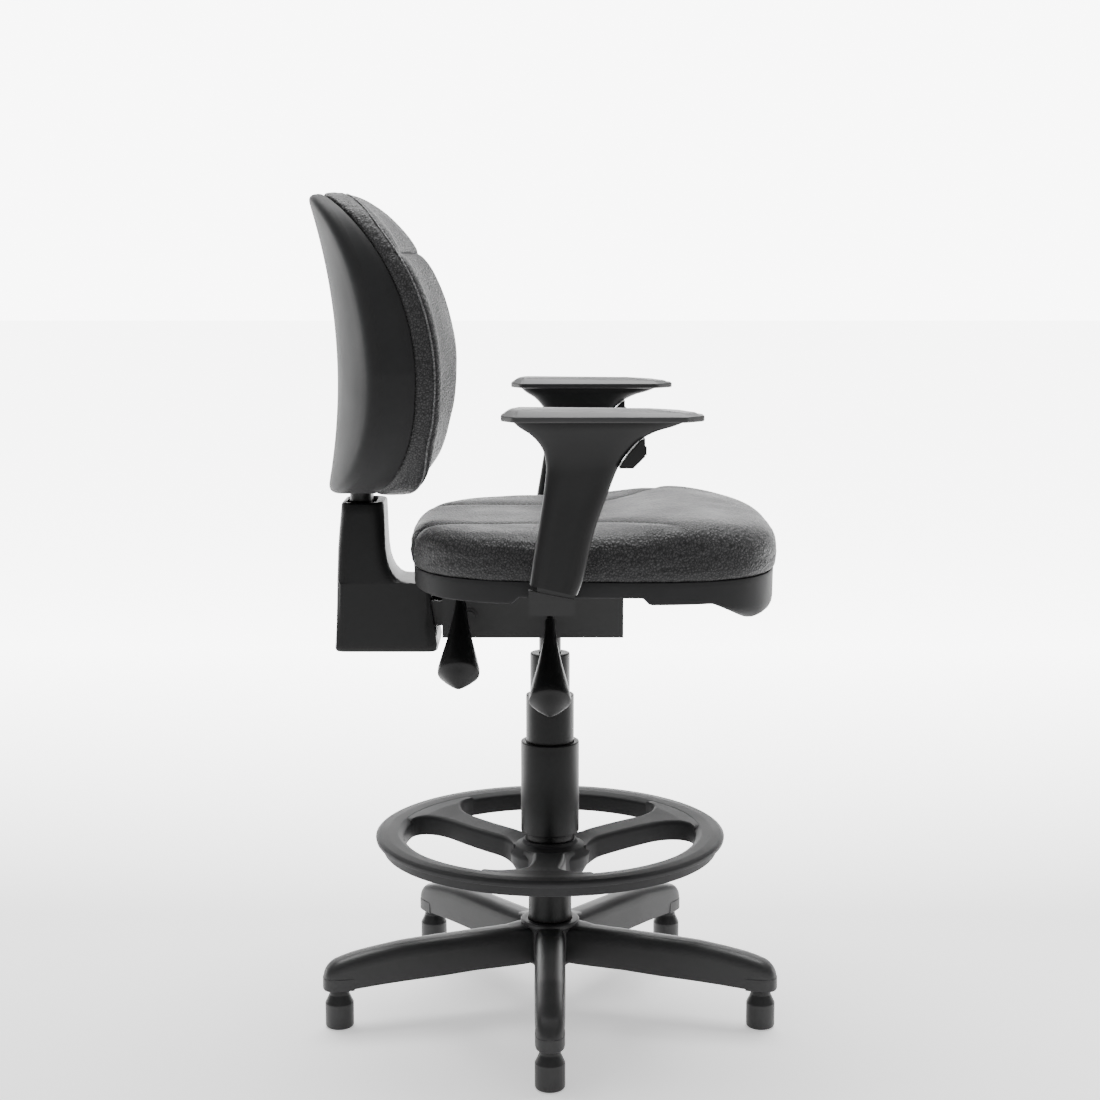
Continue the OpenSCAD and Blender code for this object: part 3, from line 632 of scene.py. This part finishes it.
def tube_ring(line, radius, sides=8):
    """Closed tube round a closed line of points."""
    tangent = np.roll(line, -1, 0) - np.roll(line, 1, 0)
    tangent /= np.linalg.norm(tangent, axis=1)[:, None]
    side = np.cross(tangent, (1, 0, 0))
    side /= np.linalg.norm(side, axis=1)[:, None]
    up = np.cross(side, tangent)
    rings = [line + radius * (math.cos(a) * side + math.sin(a) * up)
             for a in np.linspace(0, 2 * math.pi, sides, endpoint=False)]
    return Shape().loft(rings + rings[:1], first=False, last=False)


def back_piping():
    """Thin welt sewn into the seam between the backrest's front and its side band."""
    t = np.linspace(0, 2 * math.pi, 640, endpoint=False)
    y, z = back_point(np.cos(t), np.sin(t), 0.6)
    line = np.stack([shell_front(y, z) + seam_depth(z) - 1.4, y, z], 1)
    # the piping's light leather is a painted highlight along the welt
    add_piece("look_back_piping", tube_ring(line, 1.2), LOOKS["piping"], "backrest", sharp=80)


# ---- back carrier ----

def carrier_rows():
    """Rows up the carrier cover: height, rear edge, front edge, half width and corner radius."""
    low, high = box("carrier_cover_right")
    step, lip = 561.6, 3
    foot = [[low[2] + 6, -140.8], [low[2] + 10, -139.8], [510, -144.8], [533, -149], [step - 3, -149.9],
            [step - 1.4, -150.2], [step - 0.5, -151], [step - 0.05, -152.6], [step, -156]]
    rise = [[step + 0.1, -166], [step + 0.4, -176], [step + 0.9, -181.5], [563.6, -186.5], [567, -192],
            [573, -197.3], [581, -201.3], [590, -203.9], [604, -205.8], [626, -206.6], [648, -207],
            [high[2] - lip, -207.4]]
    tall, front = np.array(foot + rise).T
    rear = low[0] + np.interp(tall, [low[2], 490, 541, 610, high[2]], [0, 2, 4, 6, 10.5])
    half = np.interp(tall, [low[2], step, high[2]], [-low[1], -low[1], -low[1] - 5.5])
    return np.stack([tall, rear, front, half, np.interp(tall, [step, high[2]], [9, 17])], 1)


def half_ring(x0, x1, half, corner, z, side, count=30):
    """Half of a rounded rectangle, open at the middle plane, from the rear round the side to the front."""
    path = rounded([[x0, 0.1], [x0, half], [x1, half], [x1, 0.1]], corner, closed=False, steps=7)
    path = even(path, count)
    return np.stack([path[:, 0], side * path[:, 1], np.full(count, z)], 1)


def carrier_half(side):
    """Half of the carrier cover, from its floor up to the lip that turns down round the post."""
    low, high = box("carrier_cover_right")
    rows = carrier_rows()
    foot, crown = rows[0], rows[-1]
    foot_corner, lip_corner, slot_x, slot_y = 9, 17, 18, 36
    rings = [half_ring(foot[1] + i, foot[2] - i, foot[3] - i, foot_corner, low[2] + d, side)
             for d, i in ((0, 40), (0, 5), (0.5, 2.6), (1.6, 1.0), (3.4, 0.2))]
    rings += [half_ring(rear, front, half, corner, z, side) for z, rear, front, half, corner in rows]
    for drop, inset in ((2.2, 0.3), (1.0, 1.0), (0.2, 2.2), (0, 3.6)):
        rings.append(half_ring(crown[1] + inset, crown[2] - inset, crown[3] - inset, lip_corner - inset,
                               high[2] - drop, side))
    post = box("back_guide")
    centre = (post[0][0] + post[1][0]) / 2
    for drop, grow in ((0.2, 2.2), (1.4, 1.0), (3, 0.6), (46, 0.2)):
        rings.append(half_ring(centre - slot_x - grow, centre + slot_x + grow, slot_y + grow, slot_x,
                               high[2] - drop, side))
    rings = rings if side < 0 else [r[::-1] for r in rings]
    shape = Shape().loft(rings, first=False, last=False, closed=False)
    name = SIDES[side]
    add_piece(f"look_carrier_cover_{name}", shape, LOOKS["cover_plastic"], "back_carrier",
              [f"carrier_cover_{name}"], 34)


# ---- base ----

ARM_ANGLES = [-90 + 72 * i for i in range(5)]
GLIDE_CIRCLE = 280
SPOKE_ANGLES = (-95, 25, 145)


def vault(half, low, high, wall=0.0, count=28):
    """Section of an arm, upright sides with a rounded crest, as (across, height) from foot to foot."""
    t = np.linspace(-1, 1, count)
    rise = (1 - abs(t) ** 2.6) ** 0.42
    across = np.sign(t) * abs(t) ** 0.8 * (half - wall)
    crest = min(17, half + 2)
    height = high - wall - crest + crest * rise
    return np.r_[[[-half + wall + (1.2 if not wall else 0), low]], np.stack([across, height], 1),
                 [[half - wall - (1.2 if not wall else 0), low]]]


def arm_sections():
    """Radius, half width, lower and upper height along one arm of the base."""
    return np.array([[22, 19.5, 62, 108], [40, 19.5, 61, 108.5], [56, 19.5, 60.5, 108],
                     [104, 19.4, 60, 106.5], [150, 19.2, 57.5, 105], [184, 19.0, 56.5, 103.5],
                     [200, 18.8, 56, 102.6], [231, 18.4, 54.5, 98.8], [250, 18.2, 53.2, 96],
                     [262, 18.0, 52.4, 93.8], [273, 17.6, 51.6, 91], [284, 16.6, 50.8, 87.6],
                     [289, 15.8, 50.5, 84.6], [293, 14.2, 50.3, 81], [296, 12.2, 50.3, 77],
                     [298, 9.8, 50.3, 73], [299.4, 6.6, 50.3, 69], [300, 3.2, 50.3, 66.5]])


def section_ring(radius, path):
    return np.stack([np.full(len(path), radius), path[:, 0], path[:, 1]], 1)


def base_arm(shape, angle):
    rows = arm_sections()
    fine = np.linspace(rows[0, 0], rows[-5, 0], 60)
    fine = np.r_[fine, rows[-4:, 0]]
    half, low, high = (np.interp(fine, rows[:, 0], rows[:, k]) for k in (1, 2, 3))
    outside = [section_ring(r, vault(a, b, c)) for r, a, b, c in zip(fine, half, low, high)]
    shape.loft([turned(r, angle) for r in outside], first=False, closed=False)
    inner = [(r, a, b, c) for r, a, b, c in zip(fine, half, low, high) if r < 288]
    inside = [section_ring(r, vault(a, b, c, 3.6)) for r, a, b, c in inner]
    shape.loft([turned(r[::-1], angle) for r in inside], first=False, closed=False)
    for side in (0, -1):
        edge = [np.array([outer[side], within[side]]) for outer, within in zip(outside, inside)]
        edge = [turned(e if side else e[::-1], angle) for e in edge]
        shape.loft(edge, first=False, last=False, closed=False)
    edge = np.array([[264, 17.7], [276, 17.8], [285, 16.8], [289, 16.1], [293, 14.5], [296, 12.5],
                     [298.3, 10], [299.8, 6.8], [300.4, 3]])
    skirt_plan = np.r_[edge, edge[::-1] * (1, -1)][::-1]
    shape.loft([turned(np.c_[offset(skirt_plan, i), np.full(len(skirt_plan), z)], angle)
                for z, i in ((50.4, 0.8), (51.2, 0), (65.6, 0), (66, 0.3))])
    boss = placed(turned([[GLIDE_CIRCLE, 0, 0]], angle)[0], (0, 0, 1))
    shape.lathe([(5.6, 50.2), (10, 50.2), (11, 51.2), (11, 72)], 40, boss)
    half_rib, thick, foot, tall = 15.6, 4, 60, 22
    for r in (80, 140, 200):
        rib = [[r, -half_rib, foot], [r + thick, -half_rib, foot], [r + thick, half_rib, foot],
               [r, half_rib, foot]]
        shape.loft([turned(rib, angle), turned(np.array(rib) + (0, 0, tall), angle)])


def hub_tongue(shape, angle):
    """Arch that runs from the hub's collar down onto an arm."""
    rings = []
    for r in np.linspace(34, 66, 14):
        t = (r - 34) / 32
        half = 15.5 * math.sqrt(max(1 - t ** 2.4, 0.004))
        across = np.linspace(-1, 1, 17)
        height = 107.2 + (3.6 - 2.2 * t) * np.sqrt(np.clip(1 - across ** 4, 0, 1)) - 2.0 * t
        rings.append(np.stack([np.full(17, r), across * half, height], 1))
    shape.loft([turned(r, angle) for r in rings], first=False, last=False, closed=False)


def base_star():
    top = box("base_star")[1][2]
    sleeve, bore = radius_of("column_sleeve"), 23.2
    shape = Shape()
    for angle in ARM_ANGLES:
        base_arm(shape, angle)
        hub_tongue(shape, angle)
    profile = rounded([[29.2, 58], [31.5, 58], [33.5, 70], [34.5, 92], [33.2, 101], [34.5, 106.5], [38, 108],
                       [38, top], [sleeve + 1.6, top], [sleeve + 0.3, top - 1.6], [sleeve + 0.3, top - 9],
                       [bore, top - 9.5]],
                      [0, 1.5, 8, 6, 5, 3, 1.6, 1.8, 0.6, 0.6, 0, 0], closed=False, steps=4)
    shape.hoop(np.r_[profile, [[bore, 70], [29.2, 70]]], 128)
    add_piece("look_base_star", shape, LOOKS["base_plastic"], "base", ["base_star"], 36)


def glides():
    for i, angle in enumerate(ARM_ANGLES, 1):
        low, high = box(f"glide_{i}")
        reach = radius_of("glide_1")
        centre = turned([[GLIDE_CIRCLE, 0, 0]], angle)[0]
        profile = rounded([[0, low[2]], [reach, low[2]], [reach, 32], [14.5, 39.5], [13, 43], [12, high[2]],
                           [5.6, high[2]]], [0, 4, 1.2, 2, 3, 0.8, 0], closed=False, steps=5)
        shape = Shape().lathe(profile, 72, placed(centre, (0, 0, 1)))
        add_piece(f"look_glide_{i}", shape, LOOKS["glide_plastic"], "base",
                  [f"glide_{i}"], 30)


# ---- column ----

FIT, COVER_WALL = 0.1, 2.2


def turned_cover(name, node, body, profile, corners, slot="cover_plastic"):
    """Tube, collar or cover turned about the column's axis, in place of one CAD node."""
    shape = Shape().hoop(rounded(profile, corners, steps=4), 120)
    add_piece(name, shape, LOOKS[slot], body, [node], 30)


def column():
    within = radius_of("outer_tube") + FIT
    for node, corners in (("column_sleeve", [0, 0.8, 0.8, 0]), ("cover_stop", [0.3, 1.5, 1.5, 0])):
        foot, crown, r = box(node)[0][2], box(node)[1][2], radius_of(node)
        turned_cover(f"look_{node}", node, "base", [[within, foot], [r, foot], [r, crown], [within, crown]],
                     corners)
        within = r + FIT


def cover(node, body, outer, lip_inner, foot_inner, foot_outer):
    """One telescopic cover: its tube, the lip at its top and the collar at its foot."""
    foot, crown = box(node)[0][2], box(node)[1][2]
    collar, lip = 3, 3.5
    outline = [[foot_inner, foot], [outer if foot_outer is None else foot_outer, foot]]
    if foot_outer is not None:
        outline += [[foot_outer, foot + collar], [outer, foot + collar]]
    within = outer - COVER_WALL
    outline += [[outer, crown], [lip_inner, crown], [lip_inner, crown - lip], [within, crown - lip],
                [within, foot + collar], [foot_inner, foot + collar]]
    corners = [0] * len(outline)
    at = 1 if foot_outer is None else 4
    corners[at], corners[at + 1] = (1.8, 0) if foot_outer is None else (1.5, 0.8)
    if foot_outer is None:
        corners[2], corners[3] = 1.5, 0.8
    turned_cover(f"look_{node}", node, body, outline, corners)


def covers():
    tube, cylinder = radius_of("outer_tube"), radius_of("gas_cylinder")
    lower_r, middle_r, top_r, gap = 37.5, 30.8, 25.4, 0.4
    cover("cover_lower", "base", lower_r, middle_r + gap, tube + FIT, None)
    cover("cover_mid", "cover_mid", middle_r, top_r + gap, middle_r - COVER_WALL, lower_r - COVER_WALL - gap)
    cover("cover_top", "seat_frame", top_r, cylinder + FIT, top_r - COVER_WALL, middle_r - COVER_WALL - gap)


# ---- footring ----

def ring_rim(shape):
    """The footring's rim: a convex tread with a rounded edge over a set-back lower lip."""
    low, high = box("footring")
    outer, top, bottom, tread = (high[0] - low[0]) / 2, high[2], 211, 37
    inner = outer - tread
    path = rounded([[inner, bottom - 5], [inner + 5, bottom - 5], [outer - 10, bottom], [outer - 9, 222.5],
                    [outer - 1.2, 224.4], [outer, 229.5], [outer - 4.5, top - 0.9], [outer - 16, top],
                    [inner + 8, top - 0.6], [inner, top - 5]], [1.5, 2, 2, 1.5, 1.5, 3, 6, 24, 6, 5], steps=5)
    shape.hoop(path, 240)
    return inner, top


def spoke_section(half, lower, upper, soft):
    """Section of a spoke as (along the arc, height), with many points over its top."""
    turn = np.linspace(0, math.pi / 2, 6)
    left = np.stack([-half + soft - soft * np.cos(turn), upper - soft + soft * np.sin(turn)], 1)
    across = np.linspace(-1, 1, 25)[1:-1, None] * (half - soft, 0) + (0, upper)
    right = left[::-1] * (-1, 1)
    under = np.linspace(1, -1, 25)[:, None] * (half, 0) + (0, lower)
    return np.r_[left, across, right, under]


def spoke(shape, angle, inner, top):
    """One spoke, scooped out into the rim and the hub along round arcs, with tall sides."""
    rings = []
    into_rim, into_hub, start, hub_edge, half_width, edge_round = 50, 16, 38, 48, 21, 6
    for r in np.r_[np.linspace(start, hub_edge, 4), hub_edge + into_hub * np.linspace(0, 1, 14)[1:] ** 1.6,
                   np.linspace(hub_edge + into_hub, inner - into_rim, 12)[1:],
                   inner - into_rim * np.linspace(1, 0.02, 26)[1:] ** 1.7,
                   inner + 0.4, inner + 5, inner + 12]:
        rim_t = min(max((r - inner + into_rim) / into_rim, 0), 1)
        hub_t = min(max((hub_edge + into_hub - r) / into_hub, 0), 1)
        half = (half_width + into_rim * (1 - math.sqrt(1 - rim_t ** 2))
                + into_hub * (1 - math.sqrt(1 - hub_t ** 2)))
        upper = np.interp(r, [start, 52, 66, 150, inner - 10, inner + 4, inner + 8, inner + 12],
                          [211, 215.5, 219, 227.5, top - 1.6, top - 1.1, top - 0.6, top - 1.2])
        lower = np.interp(r, [start, 52, 66, inner, inner + 12], [184, 188, 192, 207, 209])
        section = spoke_section(min(half, 0.98 * r), lower, upper, edge_round)
        swirl = 7 * math.sin(math.pi * min((r - 30) / (inner - 30), 1))
        turn = (section[:, 0] + swirl) / r
        rings.append(turned(np.stack([r * np.cos(turn), r * np.sin(turn), section[:, 1]], 1), angle))
    shape.loft([ring[::-1] for ring in rings])


def footring():
    shape = Shape()
    inner, top = ring_rim(shape)
    for angle in SPOKE_ANGLES:
        spoke(shape, angle, inner, top)
    sleeve, base, crown = radius_of("column_sleeve"), 172, 221
    path = rounded([[sleeve + FIT, base], [40, base], [50, 190], [51.5, 203], [45, 213], [35.5, 216.5],
                    [34.2, crown], [sleeve + 1.4, crown], [sleeve + FIT, crown - 1.4]],
                   [0, 2, 6, 5, 6, 3, 1.2, 0, 0], steps=5)
    shape.hoop(path, 120)
    add_piece("look_footring", shape, LOOKS["ring_plastic"], "footring", ["footring"], 34)


def ring_knob():
    """Clamping knob with finger hollows round its edge."""
    angle, height, reach = 85, 192, 54
    out = turned([[1, 0, 0]], angle)[0]
    place = placed(out * reach + (0, 0, height), out)
    turn = np.linspace(0, 2 * math.pi, 144, endpoint=False)
    fingers, hollow = 6, 1.6
    rings = []
    for z, r, depth in ((0, 13, 0), (1, 14.6, 0), (5, 15.2, 0.2), (7.5, 17.2, 1), (17, 17.9, 1),
                        (20.4, 16.9, 0.9), (22, 14.4, 0.5), (22.3, 9, 0)):
        edge = r - depth * hollow * (0.5 - 0.5 * np.cos(fingers * turn))
        rings.append(place(np.stack([edge * np.cos(turn), edge * np.sin(turn), np.full(144, z)], 1)))
    add_piece("look_ring_knob", Shape().loft(rings), LOOKS["cover_plastic"], "ring_knob",
              ["ring_knob"], 34)


# ---- levers ----

def lever_handle(node, body, start):
    """Conical grip on the sloping part of a lever; start is its distance from the lever's bend."""
    low, high = box(node)
    x = (low[0] + high[0]) / 2
    r = (high[0] - low[0]) / 2
    along = np.array([0, -1, -1]) / math.sqrt(2)
    bend = {"gas_lever": (-49, 556), "lock_lever": (-60, 560)}[body]
    place = placed((x, bend[0], bend[1]), along, (1, 0, 0))
    neck, length = start + 14, 102
    wide = neck + length
    profile = [[4.05, start], [5.4, start], [6.5, start + 1.2], [6.6, neck]]
    cone = spline([[6.6, neck], [9.4, neck + 22], [15, neck + 52], [21.5, neck + 80],
                   [r - 0.2, wide - 5]], 26)
    profile += cone[1:].tolist()
    profile += [[r, wide - 1.5], [r - 0.15, wide + 1], [r - 0.9, wide + 2.3], [r - 2.4, wide + 3.4],
                [18.5, wide + 8.8], [11, wide + 15.8], [5, wide + 20.6], [1.6, wide + 22.4], [0, wide + 22.6]]
    add_piece(f"look_{node}", Shape().lathe(profile, 96, place), LOOKS["cover_plastic"], body,
              [node], 24)


# ---- armrests ----

def arm_sleeve(side):
    """Sleeve that flares like a trumpet up to its pad, with a shallow hollow down its outer face."""
    node = f"arm_sleeve_{SIDES[side]}"
    low, high = box(node)
    inner_y, outer_y = (low[1], high[1]) if side > 0 else (-high[1], -low[1])
    under, spread = high[2], 9
    front = spline([[30.5, 590], [36, 604], [49, 660], [64, 703], [76, 734], [87, 751], [99, 763.5],
                    [117, 773.5], [138, 780], [150, under]], 60)
    rear = spline([[-23, 602], [-18.5, 632], [-11, 677], [-5.5, 716], [-4.5, 738], [-9, 755], [-21, 769.5],
                   [-34, 778], [-42, under]], 60)
    turn = np.linspace(0, 2 * math.pi, 96, endpoint=False)
    rings = []
    for k, (f, b) in enumerate(zip(front, rear)):
        t = k / (len(front) - 1)
        flare = smooth_step(0.62, 1.0, t)
        outer, inner = outer_y + spread * flare, inner_y - spread * flare
        power = 3.2 + 1.6 * flare
        u, v = superellipse(np.cos(turn), np.sin(turn), power)
        path = np.stack([(f[0] + b[0]) / 2 + u * (f[0] - b[0]) / 2,
                         (outer + inner) / 2 + v * (outer - inner) / 2], 1)
        share = np.clip((path[:, 0] - b[0]) / (f[0] - b[0]), 0, 1)
        trough = smooth_step(0.05, 0.34, share) * (1 - smooth_step(0.62, 0.95, share))
        trough = trough * (1 - smooth_step(0.42, 0.78, t))
        dip = 2.4 * trough * np.sign(v) * smooth_step(0.75, 0.97, abs(v))
        height = b[1] + (f[1] - b[1]) * share
        rings.append(np.stack([path[:, 0], side * (path[:, 1] - dip), height], 1))
    first = rings[0]
    middle = first.mean(0)
    inside = [middle + (first - middle) * 0.80 + (0, 0, 30), middle + (first - middle) * 0.86]
    rings = inside + rings
    shape = Shape().loft(rings if side > 0 else [r[::-1] for r in rings])
    add_piece(f"look_{node}", shape, LOOKS["cover_plastic"], f"arm_{SIDES[side]}",
              [node], 34)


def arm_pad(side):
    """Pad with cut corners, a low upright edge and a gently crowned top."""
    node = f"arm_pad_{SIDES[side]}"
    low, high = box(node)
    half, middle = (high[1] - low[1]) / 2, (low[1] + high[1]) / 2
    x0, x1, cut = low[0], high[0], 22
    plan = [[x0, -half + cut], [x0 + 14, -half], [x1 - cut, -half], [x1, -half + cut], [x1, half - cut],
            [x1 - cut, half], [x0 + 14, half], [x0, half - cut]]
    plan = rounded(plan, [9, 10, 10, 9, 9, 10, 10, 9], steps=6)

    def top_at(x):
        return high[2] - np.interp(x, [x0, x0 + 14, 60, x1 - 60, x1], [4.5, 1.2, 0, 1.6, 6.5])

    def ring(inset, height=None, drop=0.0, shrink=1.0):
        p = offset(plan, inset) * (1, shrink)
        p[:, 0] = (p[:, 0] - (x0 + x1) / 2) * (0.35 + 0.65 * shrink) + (x0 + x1) / 2
        z = top_at(p[:, 0]) - drop if height is None else np.full(len(p), height)
        return np.stack([p[:, 0], p[:, 1] + middle, z], 1)

    side_top = low[2] + 6.2
    rings = [ring(9, low[2], shrink=0.4), ring(9, low[2]), ring(2.2, low[2]), ring(0.8, low[2] + 0.4),
             ring(0.1, low[2] + 1.6), ring(0, side_top - 0.7), ring(0.4, side_top), ring(1.2, side_top + 0.6),
             ring(7.2, drop=1.3), ring(8.4, drop=0.7), ring(10, drop=0.3), ring(13, drop=0.05)]
    rings += [ring(13, drop=0, shrink=share) for share in (0.72, 0.4, 0.12)]
    add_piece(f"look_{node}", Shape().loft(rings), LOOKS["pad_plastic"], f"arm_{SIDES[side]}",
              [node], 16)


SHARP = math.radians(32)


def soften(node, width, segments=3):
    """Rounds the edges of a CAD node that stays in view."""
    piece = frame["nodes"][node]
    edge = piece.modifiers.new("soft_edges", "BEVEL")
    edge.width, edge.segments, edge.limit_method = width * MM, segments, "ANGLE"
    edge.angle_limit = SHARP
    edge.harden_normals = False
    piece.data.shade_smooth()
    piece.data.set_sharp_from_angle(angle=SHARP)


# ---- studio ----

def floor():
    data = bpy.data.meshes.new("studio_floor")
    reach = 30
    corners = [(-reach, -reach, 0), (reach, -reach, 0), (reach, reach, 0), (-reach, reach, 0)]
    data.from_pydata(corners, [], [[0, 1, 2, 3]])
    plane = bpy.data.objects.new("studio_floor", data)
    bpy.context.scene.collection.objects.link(plane)
    material = bpy.data.materials.new("studio_paper")
    material.use_nodes = True
    tree = material.node_tree
    shader = tree.nodes["Principled BSDF"]
    shader.inputs["Base Color"].default_value = (0.9, 0.9, 0.9, 1)
    shader.inputs["Roughness"].default_value = 0.9
    shader.inputs["Specular IOR Level"].default_value = 0.0
    shader.inputs["Emission Color"].default_value = (1, 1, 1, 1)
    split = node(tree, "ShaderNodeSeparateXYZ")
    link(tree, (node(tree, "ShaderNodeTexCoord").outputs["Object"], split.inputs[0]),
         (ramp(tree, split.outputs["Y"], 0.6, 6.5, 0.35, 2.4), shader.inputs["Emission Strength"]))
    data.materials.append(material)


def area_light(name, place, aim, size, power):
    lamp = bpy.data.lights.new(name, "AREA")
    lamp.shape, lamp.size, lamp.size_y, lamp.energy = "RECTANGLE", size[0], size[1], power
    thing = bpy.data.objects.new(name, lamp)
    bpy.context.scene.collection.objects.link(thing)
    thing.location = place
    thing.rotation_euler = (Vector(aim) - Vector(place)).to_track_quat("-Z", "Y").to_euler()


def sky():
    """Even studio air: white behind the chair, softer above and at its sides, dim where the viewer stands."""
    world = bpy.data.worlds.new("studio_air")
    world.use_nodes = True
    bpy.context.scene.world = world
    tree = world.node_tree
    place = node(tree, "ShaderNodeTexCoord").outputs["Generated"]
    split = node(tree, "ShaderNodeSeparateXYZ")
    link(tree, (place, split.inputs[0]))
    white = node(tree, "ShaderNodeMath", operation="MULTIPLY")
    link(tree, (ramp(tree, split.outputs["Y"], 0, 8, 0.82, 0.95), white.inputs[0]),
         (ramp(tree, split.outputs["Z"], 1, 0, 0.16, 0.3), white.inputs[1]))
    around = ramp(tree, split.outputs["Y"], 0.03, 0.5, -0.4, 0.6)
    above = ramp(tree, split.outputs["Z"], 0.0, 0.8, 0.2, 1.0)
    most = node(tree, "ShaderNodeMath", operation="MAXIMUM")
    total = node(tree, "ShaderNodeMath", operation="ADD")
    link(tree, (around, most.inputs[0]), (above, most.inputs[1]), (most.outputs[0], total.inputs[0]),
         (white.outputs[0], total.inputs[1]), (total.outputs[0], tree.nodes["Background"].inputs["Strength"]))
    tree.nodes["Background"].inputs["Color"].default_value = (1, 1, 1, 1)


def camera():
    data = bpy.data.cameras.new("view")
    data.sensor_width, data.lens = 36, 65.7
    eye = bpy.data.objects.new("view", data)
    bpy.context.scene.collection.objects.link(eye)
    eye.location = (0, -2.52, 0.9606)
    eye.rotation_euler = (math.radians(81.79), 0, 0)
    bpy.context.scene.camera = eye


def main():
    seat_cushion()
    seat_shell()
    back_shell()
    back_cushion()
    back_piping()
    for side in (-1, 1):
        carrier_half(side)
        arm_sleeve(side)
        arm_pad(side)
    base_star()
    glides()
    column()
    covers()
    footring()
    ring_knob()
    lever_handle("gas_lever_handle", "gas_lever", 49)
    lever_handle("lock_lever_handle", "lock_lever", 12)
    for side in SIDES.values():
        soften(f"arm_lock_{side}", 0.7)
        soften(f"arm_button_{side}", 0.8)
    for name, width in (("mech_housing", 1.2), ("mech_plate", 0.8), ("arm_brackets", 1.5),
                        ("carrier_bar", 0.8), ("back_guide", 0.8)):
        soften(name, width)
    floor()
    sky()
    area_light("overhead", (0, 1.0, 3.0), (0, 0.2, 0.3), (3.4, 2.2), 230)
    camera()


main()
